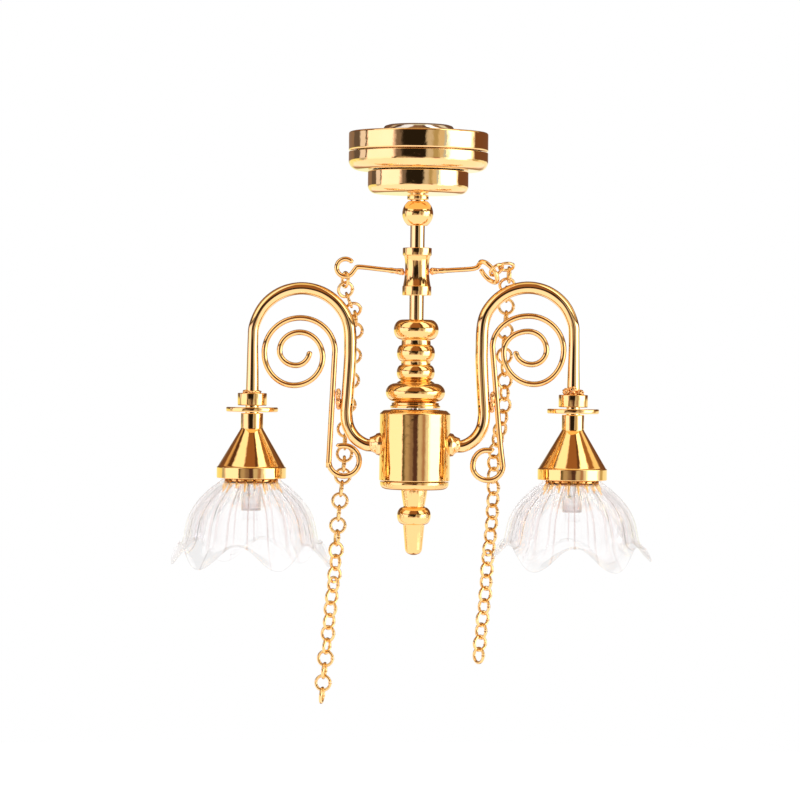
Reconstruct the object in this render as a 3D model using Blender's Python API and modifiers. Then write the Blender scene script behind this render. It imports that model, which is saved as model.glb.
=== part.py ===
"""A 1:12 dolls' house chandelier: magnetic battery canopy, turned stem, two curved arms with scrolls,
two ruffled glass shades and two hanging chains.

The origin is the middle of the magnet's top face, where the lamp meets the ceiling. +Z is up, +X is
towards the right arm and -Y is the front. All sizes below are in millimetres.
"""
import math

import bmesh
import bpy
from mathutils import Matrix, Vector

MM = 0.001

# Canopy: two tiers under a disc magnet.
MAGNET_R, MAGNET_H = 5.8, 1.5
CAP_R, CAP_TOP, CAP_BOTTOM = 11.17, -1.2, -4.25
CUP_TOP, CUP_BOTTOM = -4.4, -7.3
SKIRT_R, SKIRT_WALL, SKIRT_TOP = 9.8, 0.8, -2.8
TIER_R, TIER_TOP, TIER_BOTTOM = 8.05, -7.45, -11.0
CELL_R, CELL_H = 8.0, 3.2

# Stem: a tube with turned beads threaded on it.
TUBE_R, TUBE_BORE, TUBE_TOP, TUBE_BOTTOM = 1.15, 0.7, -10.9, -32.0
BEAD_BORE = 1.35
BALL_R, BALL_Z = 2.5, -14.1
SPOOL_TOP, SPOOL_BOTTOM = -19.6, -27.2

# Body: baluster, drum, base and finial on a tie rod.
DRUM_R, DRUM_WALL, DRUM_TOP, DRUM_BOTTOM = 5.65, 0.7, -45.35, -56.8
ROD_R, ROD_BORE, ROD_TOP, ROD_BOTTOM = 0.7, 0.9, -42.6, -60.2
FINIAL_TOP, FINIAL_TIP = -58.35, -68.7

# Arms and scrolls.
ARM_R = 1.0
REACH = {"left": 26.08, "right": 25.23}
ARCH_R = {"left": 7.78, "right": 7.39}
ARCH_Z = {"left": -34.05, "right": -33.1}
LAMP_LIFT = {"left": 0.0, "right": 0.35}
ARM_ROOT = ((5.95, -51.0), (7.6, -51.2), (9.4, -50.2), (10.6, -48.5), (11.0, -46.4),
            (10.85, -43.5), (10.6, -39.5), (10.5, -36.2))
SCROLL_R = 0.4
SCROLL_LEFT_COIL = ((-17.0, -36.3), (-19.2, -38.6), (-21.8, -36.3), (-18.6, -33.3), (-14.9, -37.3),
                    (-19.5, -41.8), (-24.15, -36.6), (-18.5, -31.0), (-12.96, -36.3))
SCROLL_LEFT_STEM = ((-13.7, -53.6),)
SCROLL_LEFT_EYE = ((-13.7, -53.9), (-11.3, -56.2), (-8.85, -53.8), (-11.3, -51.35), (-12.4, -51.6))
SCROLL_RIGHT_COIL = ((15.95, -35.85), (18.5, -38.0), (20.85, -35.7), (17.9, -32.7), (14.0, -36.1),
                     (18.9, -41.15), (23.6, -35.7), (18.0, -30.25), (12.2, -35.3))
SCROLL_RIGHT_STEM = ((12.85, -42.2), (13.62, -50.5))
SCROLL_RIGHT_EYE = ((14.12, -54.3), (11.8, -56.6), (9.3, -54.4), (11.4, -51.8), (12.6, -51.95))

# Lamp holders and shades, measured down from the end of an arm.
SOCKET_TOP = -43.1
COLLAR_R, COLLAR_H = 2.34, 2.0
FLANGE_R, FLANGE_TOP, FLANGE_H = 4.15, -45.35, 0.75
NECK_R, NECK_TOP, NECK_BOTTOM = 1.78, -46.3, -48.8
BAND_R, BAND_TOP, BAND_BOTTOM = 5.55, -54.8, -56.7
SHADE_WALL = 0.7
SHADE_LOBES, SHADE_DROP, SHADE_FLARE = 6, 1.9, 0.45
SIDE_LIFT = {"left": 0.1, "right": 1.2}
SHADE_PROFILE = ((4.6, -55.4), (4.74, -56.9), (6.4, -58.2), (8.6, -60.4), (10.0, -62.7),
                 (10.6, -64.9), (10.9, -66.5), (11.4, -67.7), (12.3, -68.65))
LED_R, LED_TOP, LED_BOTTOM = 1.6, -56.95, -62.3

# Hooks and chains.
HOOK_R = 0.35
HOOK_EYE_R = 1.4
LINK_R, LINK_WIRE, LINK_PITCH, JOINT_PITCH = 1.13, 0.27, 1.99, 1.6
CHAIN_LEFT_ROUTE = ((-11.45, 0.0, -24.82), (-11.4, 0.1, -26.4), (-10.7, 1.3, -28.4), (-9.9, 2.6, -30.3),
                    (-9.85, 3.0, -33.0), (-10.05, 3.0, -36.5), (-10.3, 3.0, -40.5), (-10.8, 3.0, -44.4),
                    (-11.2, 3.0, -48.5), (-11.3, 3.0, -52.8), (-11.5, 3.0, -56.0), (-12.0, 3.0, -61.0),
                    (-12.4, 3.0, -67.0), (-12.65, 3.0, -72.0), (-13.2, 3.0, -77.0), (-13.7, 3.0, -83.0),
                    (-14.2, 3.0, -88.5), (-14.7, 3.0, -95.0))
CHAIN_LEFT_RUNS = (1, 3, 12, 10, 10)
CHAIN_RIGHT_ROUTE = ((12.65, -0.96, -22.98), (14.05, -0.4, -22.35), (14.75, 0.95, -23.35),
                     (14.5, 2.2, -25.0), (14.4, 3.1, -27.0), (14.4, 3.1, -30.3),
                     (14.2, 3.0, -35.0), (14.3, 3.1, -40.0), (14.25, 3.4, -44.7),
                     (13.65, 3.9, -48.7), (12.8, 4.5, -53.0), (12.75, 5.2, -59.1),
                     (12.5, 5.9, -64.7), (12.0, 6.3, -70.0), (11.7, 6.4, -75.5),
                     (11.2, 6.4, -80.5), (10.8, 6.4, -85.0), (10.4, 6.4, -91.0))
CHAIN_RIGHT_RUNS = (4, 12, 10, 9)

COLLECTION = "dolls_house_chandelier"


def clear_scene():
    for obj in list(bpy.data.objects):
        bpy.data.objects.remove(obj, do_unlink=True)
    for collection in list(bpy.data.collections):
        bpy.data.collections.remove(collection)


def new_collection(name):
    collection = bpy.data.collections.new(name)
    bpy.context.scene.collection.children.link(collection)
    return collection


def make_material(name, colour, roughness, metallic, transmission=0.0):
    material = bpy.data.materials.new(name)
    material.use_nodes = True
    shader = material.node_tree.nodes["Principled BSDF"]
    shader.inputs["Base Color"].default_value = (*colour, 1.0)
    shader.inputs["Roughness"].default_value = roughness
    shader.inputs["Metallic"].default_value = metallic
    shader.inputs["Transmission Weight"].default_value = transmission
    material.diffuse_color = (*colour, 1.0)
    return material


GOLD = ((0.90, 0.66, 0.24), 0.06, 1.0)
NICKEL = ((0.72, 0.72, 0.74), 0.12, 1.0)
GLASS = ((0.97, 0.95, 0.96), 0.03, 0.0, 1.0)
BOARD = ((0.08, 0.28, 0.14), 0.5, 0.0)
SLEEVE = ((0.86, 0.85, 0.82), 0.6, 0.0)


def add_object(name, data, finish, location=(0.0, 0.0, 0.0)):
    """Link an object for one sub-part, with a material of its own, at a place given in millimetres."""
    obj = bpy.data.objects.new(name, data)
    obj.location = Vector(location) * MM
    data.materials.clear()
    data.materials.append(make_material(name, *finish))
    bpy.data.collections[COLLECTION].objects.link(obj)
    return obj


def turned(name, profile, finish, steps=32, location=(0.0, 0.0, 0.0), closed=False):
    """Turn a profile of (radius, height) points, listed down its outer side, about the Z axis."""
    mesh = bpy.data.meshes.new(name)
    bm = bmesh.new()
    verts = [bm.verts.new((r * MM, 0.0, z * MM)) for r, z in profile]
    for a, b in zip(verts, verts[1:]):
        bm.edges.new((a, b))
    if closed:
        bm.edges.new((verts[-1], verts[0]))
    bm.to_mesh(mesh)
    bm.free()
    obj = add_object(name, mesh, finish, location)
    screw = obj.modifiers.new("turn", "SCREW")
    screw.steps = steps
    screw.render_steps = steps
    screw.use_merge_vertices = True
    screw.merge_threshold = 0.000001
    screw.use_normal_calculate = False
    return obj


def arc(centre_r, centre_z, radius_r, radius_z, start, end, count):
    """Profile points on an ellipse, from one angle to another in degrees, with 90 at the top."""
    points = []
    for i in range(count + 1):
        angle = math.radians(start + (end - start) * i / count)
        points.append((centre_r + radius_r * math.cos(angle), centre_z + radius_z * math.sin(angle)))
    return points


def bead(neck_r, bead_r, top, bottom, count=5):
    """Profile points of a rounded bead that swells from one neck radius and returns to it."""
    return arc(neck_r, (top + bottom) / 2, bead_r - neck_r, (top - bottom) / 2, 90, -90, count)


def smooth_path(points, spacing):
    """Points at an even spacing along a smooth curve that passes through every given point."""
    nodes = [Vector(p) for p in points]
    nodes = [nodes[0] * 2 - nodes[1]] + nodes + [nodes[-1] * 2 - nodes[-2]]
    dense = []
    for i in range(1, len(nodes) - 2):
        p0, p1, p2, p3 = nodes[i - 1:i + 3]
        for k in range(24):
            t = k / 24
            dense.append(0.5 * ((2 * p1) + (p2 - p0) * t + (2 * p0 - 5 * p1 + 4 * p2 - p3) * t ** 2
                                + (3 * p1 - p0 - 3 * p2 + p3) * t ** 3))
    dense.append(nodes[-2])
    length = sum((b - a).length for a, b in zip(dense, dense[1:]))
    count = max(2, round(length / spacing))
    return [walk_along(dense, length * i / count) for i in range(count + 1)]


def walk_along(points, distance):
    """The point at a distance along a polyline, going straight on past its end."""
    left = distance
    for a, b in zip(points, points[1:]):
        step = (b - a).length
        if left <= step and step > 0:
            return a.lerp(b, left / step)
        left -= step
    last = (points[-1] - points[-2]).normalized()
    return points[-1] + last * left


def quarter_arcs(extremes, upright, count):
    """A smooth flat curve through the extreme points of a scroll, as quarter ellipses.

    The curve runs level through every other point and upright through the ones between them.
    """
    points = [Vector((extremes[0][0], extremes[0][1]))]
    for (x0, z0), (x1, z1) in zip(extremes, extremes[1:]):
        for i in range(1, count + 1):
            angle = math.pi / 2 * i / count
            if upright:
                points.append(Vector((x1 + (x0 - x1) * math.cos(angle), z0 + (z1 - z0) * math.sin(angle))))
            else:
                points.append(Vector((x0 + (x1 - x0) * math.sin(angle), z1 + (z0 - z1) * math.cos(angle))))
        upright = not upright
    return points


def wire(name, points, radius, finish, sides=8, location=(0.0, 0.0, 0.0)):
    """A round wire or tube along a run of points, with closed ends."""
    curve = bpy.data.curves.new(name, "CURVE")
    curve.dimensions = "3D"
    curve.bevel_depth = radius * MM
    curve.bevel_resolution = (sides - 4) // 2
    curve.use_fill_caps = True
    spline = curve.splines.new("POLY")
    spline.points.add(len(points) - 1)
    for slot, point in zip(spline.points, points):
        slot.co = (*(Vector(point) * MM), 1.0)
    return add_object(name, curve, finish, location)


def in_front_plane(points):
    """Turn (x, z) points into points in the plane of the arms."""
    return [Vector((p[0], 0.0, p[1])) for p in points]


def build_canopy():
    """Magnet, battery case and its contents, from the ceiling down."""
    turned("ceiling_magnet",
           [(0.0, 0.0), (4.9, 0.0), (5.45, -0.2), (MAGNET_R, -0.75), (MAGNET_R, -MAGNET_H),
            (0.0, -MAGNET_H)], NICKEL, 24)
    turned("canopy_cap",
           [(0.0, -1.8), (6.15, -1.8), (6.15, CAP_TOP), (CAP_R - 0.5, CAP_TOP),
            (CAP_R - 0.15, CAP_TOP - 0.12), (CAP_R, CAP_TOP - 0.45), (CAP_R, CAP_BOTTOM),
            (10.1, CAP_BOTTOM), (10.1, -2.4), (0.0, -2.4)], GOLD, 32)
    inner = SKIRT_R - SKIRT_WALL
    cup = [(1.35, -6.5), (inner, -6.5), (inner, SKIRT_TOP), (SKIRT_R, SKIRT_TOP), (SKIRT_R, CUP_TOP),
           (CAP_R, CUP_TOP)]
    cup += arc(CAP_R - 1.6, -5.7, 1.6, -5.7 - CUP_BOTTOM, 0, -90, 3)
    cup += [(1.35, CUP_BOTTOM)]
    turned("canopy_cup", cup, GOLD, 32, closed=True)
    tier = [(BEAD_BORE, -10.3), (TIER_R - 0.75, -10.3), (TIER_R - 0.75, TIER_TOP), (TIER_R, TIER_TOP)]
    tier += arc(TIER_R - 1.4, -9.8, 1.4, -9.8 - TIER_BOTTOM, 0, -90, 3)
    tier += [(BEAD_BORE, TIER_BOTTOM)]
    turned("canopy_tier", tier, GOLD, 28, closed=True)
    cell_top = -2.85
    turned("coin_cell",
           [(0.0, cell_top), (CELL_R - 0.3, cell_top), (CELL_R, cell_top - 0.3), (CELL_R, cell_top - CELL_H),
            (0.0, cell_top - CELL_H)], NICKEL, 20)
    turned("cap_contact", [(0.0, -2.5), (3.0, -2.5), (3.0, -2.75), (0.0, -2.75)], NICKEL, 16)
    turned("cup_contact", [(0.0, -6.15), (4.0, -6.15), (4.0, -6.4), (0.0, -6.4)], NICKEL, 16)
    turned("circuit_board", [(1.5, -8.2), (6.9, -8.2), (6.9, -9.0), (1.5, -9.0)], BOARD, 16, closed=True)


def build_stem():
    """The tube, and the collar, ball and spool on it."""
    turned("stem_tube",
           [(TUBE_BORE, TUBE_TOP), (TUBE_R, TUBE_TOP), (TUBE_R, TUBE_BOTTOM), (TUBE_BORE, TUBE_BOTTOM)],
           GOLD, 20, closed=True)
    turned("stem_collar",
           [(BEAD_BORE, -11.15), (1.7, -11.15), (1.7, -11.95), (BEAD_BORE, -11.95)], GOLD, 20, closed=True)
    top = math.degrees(math.asin(1.95 / BALL_R))
    ball = arc(0.0, BALL_Z, BALL_R, BALL_R, top, -top, 7)
    turned("ball_bead", [(BEAD_BORE, ball[0][1])] + ball + [(BEAD_BORE, ball[-1][1])], GOLD, 18, closed=True)
    waist = [(2.12, -20.85), (1.94, -21.6), (1.95, -23.4), (2.2, -25.7)]
    spool = [(BEAD_BORE, SPOOL_TOP), (2.32, SPOOL_TOP), (2.32, -20.8)]
    spool += waist + [(2.32, -25.75), (2.32, SPOOL_BOTTOM)]
    turned("spool_collar", spool + [(BEAD_BORE, SPOOL_BOTTOM)], GOLD, 18, closed=True)


def build_body():
    """The baluster, the drum that the arms leave from, its base and the finial."""
    baluster = [(BEAD_BORE, -31.05)]
    baluster += bead(2.3, 3.6, -31.05, -34.3, 5)
    baluster += bead(2.35, 3.04, -35.1, -37.7, 4)
    baluster += bead(2.35, 3.04, -38.3, -40.7, 4)
    baluster += bead(3.2, 4.75, -41.2, -44.2, 5)
    baluster += [(3.8, -44.35), (3.8, -44.7), (4.0, -44.8), (4.0, -45.2), (ROD_BORE, -45.2),
                 (ROD_BORE, -32.3), (BEAD_BORE, -32.3)]
    turned("baluster", baluster, GOLD, 20, closed=True)
    turned("tie_rod", [(0.0, ROD_TOP), (ROD_R, ROD_TOP), (ROD_R, ROD_BOTTOM), (0.0, ROD_BOTTOM)], NICKEL, 12)
    inner = DRUM_R - DRUM_WALL
    drum = [(ROD_BORE, DRUM_TOP), (4.2, DRUM_TOP), (5.1, DRUM_TOP - 0.2), (DRUM_R, DRUM_TOP - 0.7),
            (DRUM_R, DRUM_BOTTOM), (inner, DRUM_BOTTOM), (inner, DRUM_TOP - 0.9), (ROD_BORE, DRUM_TOP - 0.9)]
    turned("drum", drum, GOLD, 28, closed=True)
    base = [(ROD_BORE, -56.0), (inner - 0.2, -56.0), (inner - 0.2, DRUM_BOTTOM - 0.12),
            (DRUM_R - 0.15, DRUM_BOTTOM - 0.12)]
    base += arc(4.4, -57.3, DRUM_R - 0.15 - 4.4, 0.9, 0, -90, 3)
    base += [(ROD_BORE, -58.2)]
    turned("drum_base", base, GOLD, 28, closed=True)
    finial = [(ROD_BORE, FINIAL_TOP), (2.1, FINIAL_TOP), (1.95, -59.4), (1.68, -60.9)]
    finial += bead(1.75, 2.75, -61.0, -63.8, 5)
    finial += [(1.7, -64.0), (1.36, -67.8)]
    finial += arc(0.0, -67.9, 1.3, 0.8, 0, -90, 3)
    finial += [(0.0, -60.5), (ROD_BORE, -60.5)]
    turned("finial", finial, GOLD, 16, closed=True)


def build_arm(side, name):
    """One arm: out of the drum, up, over in an arch and down to the lamp holder."""
    reach, arch_r, arch_z = REACH[name], ARCH_R[name], ARCH_Z[name]
    centre = reach - arch_r
    route = [(x, 0.0, z) for x, z in ARM_ROOT]
    for degrees in (165, 140, 115, 90, 65, 40, 15):
        angle = math.radians(degrees)
        route.append((centre + arch_r * math.cos(angle), 0.0, arch_z + arch_r * math.sin(angle)))
    start, end = arch_z - 0.6, SOCKET_TOP - 0.9 + LAMP_LIFT[name]
    for step in range(4):
        route.append((reach, 0.0, start + (end - start) * step / 3))
    points = smooth_path(route, 1.4)
    wire("arm_" + name, [(p.x * side, p.y, p.z) for p in points], ARM_R, GOLD, 8)
    boss = turned("arm_boss_" + name,
                  [(1.25, 0.95), (1.4, 0.95), (1.6, 0.35), (1.9, 0.0), (1.25, 0.0)], GOLD, 16,
                  (side * (DRUM_R + 0.3), 0.0, ARM_ROOT[0][1]), closed=True)
    boss.rotation_euler = (0.0, side * math.pi / 2, 0.0)


def build_scroll(name, coil, stem, eye):
    """The wire ornament beside an arm: a coil, a long straight stem and a small eye."""
    points = quarter_arcs(coil, True, 5)
    for corner in stem:
        points.append(Vector(corner))
    points += quarter_arcs(eye[:4], True, 4)[0 if stem[-1] != eye[0] else 1:]
    points += quarter_arcs(eye[3:], False, 2)[1:]
    wire("scroll_" + name, in_front_plane(points), SCROLL_R, GOLD, 6)


def build_solder(name, x, z, length):
    """The bead of solder that holds a scroll to its arm."""
    turned("solder_" + name,
           [(0.0, length / 2), (0.25, length / 2 - 0.15), (0.3, 0.0), (0.25, 0.15 - length / 2),
            (0.0, -length / 2)], GOLD, 10, (x, 0.0, z))


def shade_surface(u, v, lean, side_lift):
    """A point of a shade's outer face, with u round it from the front and v down it, both 0 to 1."""
    count = len(SHADE_PROFILE) - 1
    at = min(v * count, count - 0.000001)
    i = int(at)
    t = at - i
    around = [SHADE_PROFILE[min(max(k, 0), count)] for k in (i - 1, i, i + 1, i + 2)]
    r, z = [0.5 * (2 * b + (c - a) * t + (2 * a - 5 * b + 4 * c - d) * t ** 2
                   + (3 * b - a - 3 * c + d) * t ** 3) for a, b, c, d in zip(*around)]
    angle = 2 * math.pi * u
    wave = math.cos(SHADE_LOBES * (angle - math.radians(lean)))
    edge = max(0.0, (v - 0.55) / 0.45) ** 2
    beside = max(0.0, (abs(math.sin(angle)) - 0.87) / 0.13)
    z += (SHADE_DROP * wave + side_lift * beside) * edge
    r += (0.1 - SHADE_FLARE * wave) * edge
    return Vector((r * math.sin(angle), -r * math.cos(angle), z))


def build_shade(name, place, lean, side_lift):
    """A bell of glass with a ruffled rim, as one curved sheet that is given a wall."""
    columns, rows = 48, 7
    bm = bmesh.new()
    bmesh.ops.create_grid(bm, x_segments=columns, y_segments=rows, size=0.5)
    for vert in bm.verts:
        vert.co = shade_surface(vert.co.x + 0.5, 0.5 - vert.co.y, lean, side_lift) * MM
    bmesh.ops.remove_doubles(bm, verts=bm.verts, dist=0.000001)
    mesh = bpy.data.meshes.new(name)
    bm.to_mesh(mesh)
    bm.free()
    shade = add_object(name, mesh, GLASS, place)
    wall = shade.modifiers.new("wall", "SOLIDIFY")
    wall.thickness = SHADE_WALL * MM
    wall.offset = -1.0


def build_lamp(side, name, lean):
    """Everything on the end of one arm: collar, flange, holder, glass shade and light."""
    place = (side * REACH[name], 0.0, LAMP_LIFT[name])
    turned("socket_collar_" + name,
           [(1.2, SOCKET_TOP), (COLLAR_R - 0.1, SOCKET_TOP), (COLLAR_R, SOCKET_TOP - 0.1),
            (COLLAR_R, SOCKET_TOP - COLLAR_H), (0.0, SOCKET_TOP - COLLAR_H), (0.0, SOCKET_TOP - 1.1),
            (1.2, SOCKET_TOP - 1.1)], GOLD, 20, place, closed=True)
    turned("socket_flange_" + name,
           [(0.9, FLANGE_TOP), (FLANGE_R, FLANGE_TOP), (FLANGE_R, FLANGE_TOP - FLANGE_H),
            (0.9, FLANGE_TOP - FLANGE_H)], GOLD, 20, place, closed=True)
    turned("shade_holder_" + name,
           [(1.25, NECK_TOP), (NECK_R, NECK_TOP), (NECK_R, NECK_BOTTOM), (BAND_R - 0.2, BAND_TOP),
            (BAND_R, BAND_TOP - 0.15), (BAND_R, BAND_BOTTOM), (BAND_R - 0.45, BAND_BOTTOM),
            (BAND_R - 0.45, BAND_TOP - 0.1), (1.25, NECK_BOTTOM - 0.8)], GOLD, 24, place, closed=True)
    turned("led_sleeve_" + name,
           [(0.0, NECK_BOTTOM), (1.0, NECK_BOTTOM), (1.0, LED_TOP + 0.15), (0.0, LED_TOP + 0.15)],
           SLEEVE, 12, place)
    turned("led_" + name,
           [(0.0, LED_TOP), (1.9, LED_TOP), (1.9, LED_TOP - 0.8), (LED_R, LED_TOP - 0.8),
            (LED_R, LED_BOTTOM + 0.35), (LED_R - 0.35, LED_BOTTOM), (0.0, LED_BOTTOM)], GLASS, 16, place)
    build_shade("shade_" + name, place, lean, SIDE_LIFT[name])


def build_hooks():
    """The cross wire that carries the chains, soldered to the spool in two halves."""
    ring = []
    for i in range(17):
        angle = math.radians(-40 - 285 * i / 16)
        x, z = -11.45 + HOOK_EYE_R * math.cos(angle), -22.9 + HOOK_EYE_R * math.sin(angle)
        ring.append(Vector((x, 0.0, z)))
    left = [Vector((-2.2, 0.0, -23.45)), Vector((-6.0, 0.0, -23.05)), Vector((-9.3, 0.0, -22.75)),
            Vector((-9.85, 0.0, -23.1))]
    wire("hook_left", left + ring, HOOK_R, GOLD, 6)
    centre = Vector((11.4, 0.0, -23.3))
    along = Vector((0.64, 0.0, -0.77))
    across = Vector((0.46, -0.8, 0.38))
    oval = []
    for i in range(17):
        angle = math.radians(200 - 325 * i / 16)
        oval.append(centre + along * 2.0 * math.cos(angle) + across * 1.3 * math.sin(angle))
    right = [Vector((2.2, 0.0, -23.3)), Vector((6.0, 0.0, -23.05)), Vector((9.2, 0.0, -22.75))]
    wire("hook_right", right + oval, HOOK_R, GOLD, 6)


def link_mesh(name, origin, places):
    """Round links at the given places, as one mesh measured from a hinge point."""
    bpy.ops.mesh.primitive_torus_add(major_radius=LINK_R * MM, minor_radius=LINK_WIRE * MM,
                                     major_segments=8, minor_segments=4)
    torus = bpy.context.object
    bm = bmesh.new()
    for centre, along, normal in places:
        fresh = bmesh.new()
        fresh.from_mesh(torus.data)
        turn = Matrix((along, normal.cross(along), normal)).transposed().to_4x4()
        place = Matrix.Translation((centre - origin) * MM)
        bmesh.ops.transform(fresh, matrix=place @ turn, verts=fresh.verts)
        single = bpy.data.meshes.new("link")
        fresh.to_mesh(single)
        fresh.free()
        bm.from_mesh(single)
        bpy.data.meshes.remove(single)
    bpy.data.objects.remove(torus, do_unlink=True)
    mesh = bpy.data.meshes.new(name)
    bm.to_mesh(mesh)
    bm.free()
    return mesh


def link_places(route, runs):
    """Where each link of a chain sits: its centre, the way it runs and the way its face looks."""
    path = smooth_path(route, 0.25)
    distance = 0.0
    places = []
    for run in runs:
        for i in range(run):
            centre = walk_along(path, distance)
            ahead = walk_along(path, distance + 0.6)
            behind = walk_along(path, max(0.0, distance - 0.6))
            along = (ahead - behind).normalized()
            level = Vector((1.0, 0.0, 0.0))
            face = along.cross(level).normalized()
            edge = face.cross(along).normalized()
            places.append((centre, along, face if len(places) % 2 else edge))
            distance += LINK_PITCH if i < run - 1 else JOINT_PITCH
    return places


def build_chain(name, route, runs, hang_point, cutters):
    """A chain in several runs of linked rings. Each run's origin is the point that it swings on."""
    places = link_places(route, runs)
    first = 0
    origin = Vector(hang_point)
    for number, run in enumerate(runs):
        part = places[first:first + run]
        title = "chain_%s_%d" % (name, number + 1)
        mesh = link_mesh(title, origin, part[0::2])
        obj = add_object(title, mesh, GOLD, origin)
        if run > 1:
            cutter = bpy.data.objects.new(title + "_links", link_mesh(title + "_links", origin, part[1::2]))
            cutter.location = obj.location
            cutter.hide_render = True
            cutter.display_type = "WIRE"
            cutters.objects.link(cutter)
            join = obj.modifiers.new("join links", "BOOLEAN")
            join.operation = "UNION"
            join.solver = "EXACT"
            join.object = cutter
        centre, along, normal = part[-1]
        origin = centre + along * LINK_R
        first += run


def main():
    clear_scene()
    new_collection(COLLECTION)
    cutters = new_collection("cutters")
    build_canopy()
    build_stem()
    build_body()
    for side, name, lean in ((-1, "left", -7.0), (1, "right", 0.0)):
        build_arm(side, name)
        build_lamp(side, name, lean)
    build_scroll("left", SCROLL_LEFT_COIL, SCROLL_LEFT_STEM, SCROLL_LEFT_EYE)
    build_scroll("right", SCROLL_RIGHT_COIL, SCROLL_RIGHT_STEM, SCROLL_RIGHT_EYE)
    build_solder("left", -12.3, -44.0, 2.6)
    build_solder("right", 12.27, -44.2, 2.6)
    build_hooks()
    build_chain("left", CHAIN_LEFT_ROUTE, CHAIN_LEFT_RUNS, (-11.45, 0.0, -24.3), cutters)
    build_chain("right", CHAIN_RIGHT_ROUTE, CHAIN_RIGHT_RUNS, (12.31, -1.0, -23.22), cutters)


main()
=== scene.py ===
# %% [markdown]
# # A dolls' house chandelier in plated brass and pressed glass
# The lamp hangs from a magnet: a two-tier canopy, a turned stem, two arms with wire scrolls, two ruffled
# glass shades and two thin chains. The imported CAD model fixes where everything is. This file dresses that
# frame: each CAD node is replaced by a finer piece at the same place, which rides on the same body.
# Lengths below are in millimetres and are turned into metres where a mesh is made.

# %% Load the frame
import math
from collections import namedtuple

import bmesh
import bpy
from mathutils import Matrix, Vector, noise


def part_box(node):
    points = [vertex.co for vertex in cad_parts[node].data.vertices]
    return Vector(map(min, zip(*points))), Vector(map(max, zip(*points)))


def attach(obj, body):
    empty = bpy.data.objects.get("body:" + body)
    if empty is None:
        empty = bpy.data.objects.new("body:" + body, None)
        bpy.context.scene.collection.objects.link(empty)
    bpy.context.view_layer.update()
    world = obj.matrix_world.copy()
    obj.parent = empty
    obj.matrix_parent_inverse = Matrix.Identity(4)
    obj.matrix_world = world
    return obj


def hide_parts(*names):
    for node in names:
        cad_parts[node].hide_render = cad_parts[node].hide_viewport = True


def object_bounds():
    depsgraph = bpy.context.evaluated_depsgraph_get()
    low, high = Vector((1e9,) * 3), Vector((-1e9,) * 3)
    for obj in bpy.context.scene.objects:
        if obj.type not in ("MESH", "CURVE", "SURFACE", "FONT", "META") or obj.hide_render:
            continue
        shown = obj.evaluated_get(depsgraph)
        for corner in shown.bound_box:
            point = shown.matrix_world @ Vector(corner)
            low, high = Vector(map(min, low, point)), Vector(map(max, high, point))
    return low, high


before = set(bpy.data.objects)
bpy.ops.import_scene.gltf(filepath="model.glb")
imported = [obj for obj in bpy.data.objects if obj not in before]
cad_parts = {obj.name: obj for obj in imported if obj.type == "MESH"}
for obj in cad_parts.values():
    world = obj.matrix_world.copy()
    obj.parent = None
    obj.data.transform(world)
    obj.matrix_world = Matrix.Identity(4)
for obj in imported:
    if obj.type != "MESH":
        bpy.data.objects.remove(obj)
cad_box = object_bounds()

MM = 0.001
SIDES = {"left": -1, "right": 1}

# %% [markdown]
# ## Reading sizes from the frame
# A turned piece is known by its axis, its radius and its two ends, so one helper reads those from a node's
# box. Taking them from the frame, instead of typing them again, keeps the looks and the CAD in step.

# %% Read a node's size
Span = namedtuple("Span", "x y r top bottom")


def span(node):
    low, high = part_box(node)
    return Span((low.x + high.x) / 2 / MM, (low.y + high.y) / 2 / MM, (high.x - low.x) / 2 / MM,
                high.z / MM, low.z / MM)


magnet = span("ceiling_magnet")
print("magnet radius %.2f, thickness %.2f mm" % (magnet.r, magnet.top - magnet.bottom))

# %% [markdown]
# ## The camera
# A long lens from about half a metre, level with the stem, shows the lamp with hardly any perspective.
# The lamp hangs a little out of true, so the camera is rolled by less than a degree and aimed slightly to
# the left and down. Building its axes from vectors is easier to follow than three Euler angles.

# %% Camera
LENS_MM = 143.0
CAMERA_AT = Vector((0.0, -0.508, -0.0375))
ROLL = math.radians(0.725)
AIM_LEFT, AIM_DOWN = 0.0050, 0.0126


def make_camera():
    camera = bpy.data.objects.new("camera", bpy.data.cameras.new("camera"))
    bpy.context.scene.collection.objects.link(camera)
    right = Vector((math.cos(ROLL), 0.0, math.sin(ROLL)))
    up = Vector((-math.sin(ROLL), 0.0, math.cos(ROLL)))
    look = (Vector((0.0, 1.0, 0.0)) - right * AIM_LEFT - up * AIM_DOWN).normalized()
    right = look.cross(up).normalized()
    up = right.cross(look)
    camera.matrix_world = Matrix.Translation(CAMERA_AT) @ Matrix((right, up, -look)).transposed().to_4x4()
    camera.data.lens = LENS_MM
    camera.data.sensor_width = 36.0
    camera.data.clip_start, camera.data.clip_end = 0.01, 20.0
    bpy.context.scene.camera = camera
    return camera


camera = make_camera()
print("lens %.0f mm, %.3f m away" % (camera.data.lens, CAMERA_AT.length))

# %% [markdown]
# ## Studio light
# Mirror plating has hardly any look of its own: it shows the room. The room is therefore drawn as bands
# round the horizon, as a studio's softboxes, flags and wooden bench would be: a pale panel to the
# left, the dark camera side in the middle, a strong lamp to the right and brown shade towards the back.
# Lights could do the same, but a sky built from the direction alone has no size, so it lights a thing of
# 9 cm evenly. Rays from the camera see the plain white backdrop. Rays that came through glass see white
# boards with narrow grey gaps between them, which draws the lines that clear glass is recognised by.

# %% World shader helpers
def fill(tree, node, inputs):
    """Fill a node's inputs, by name or number, each with a constant or with a socket to link."""
    for name, value in inputs.items():
        if isinstance(value, bpy.types.NodeSocket):
            tree.links.new(value, node.inputs[name])
        else:
            node.inputs[name].default_value = value


def add_node(tree, kind, label, inputs=None, **settings):
    node = tree.nodes.new(kind)
    node.label = label
    for name, value in settings.items():
        setattr(node, name, value)
    fill(tree, node, inputs or {})
    return node


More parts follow.
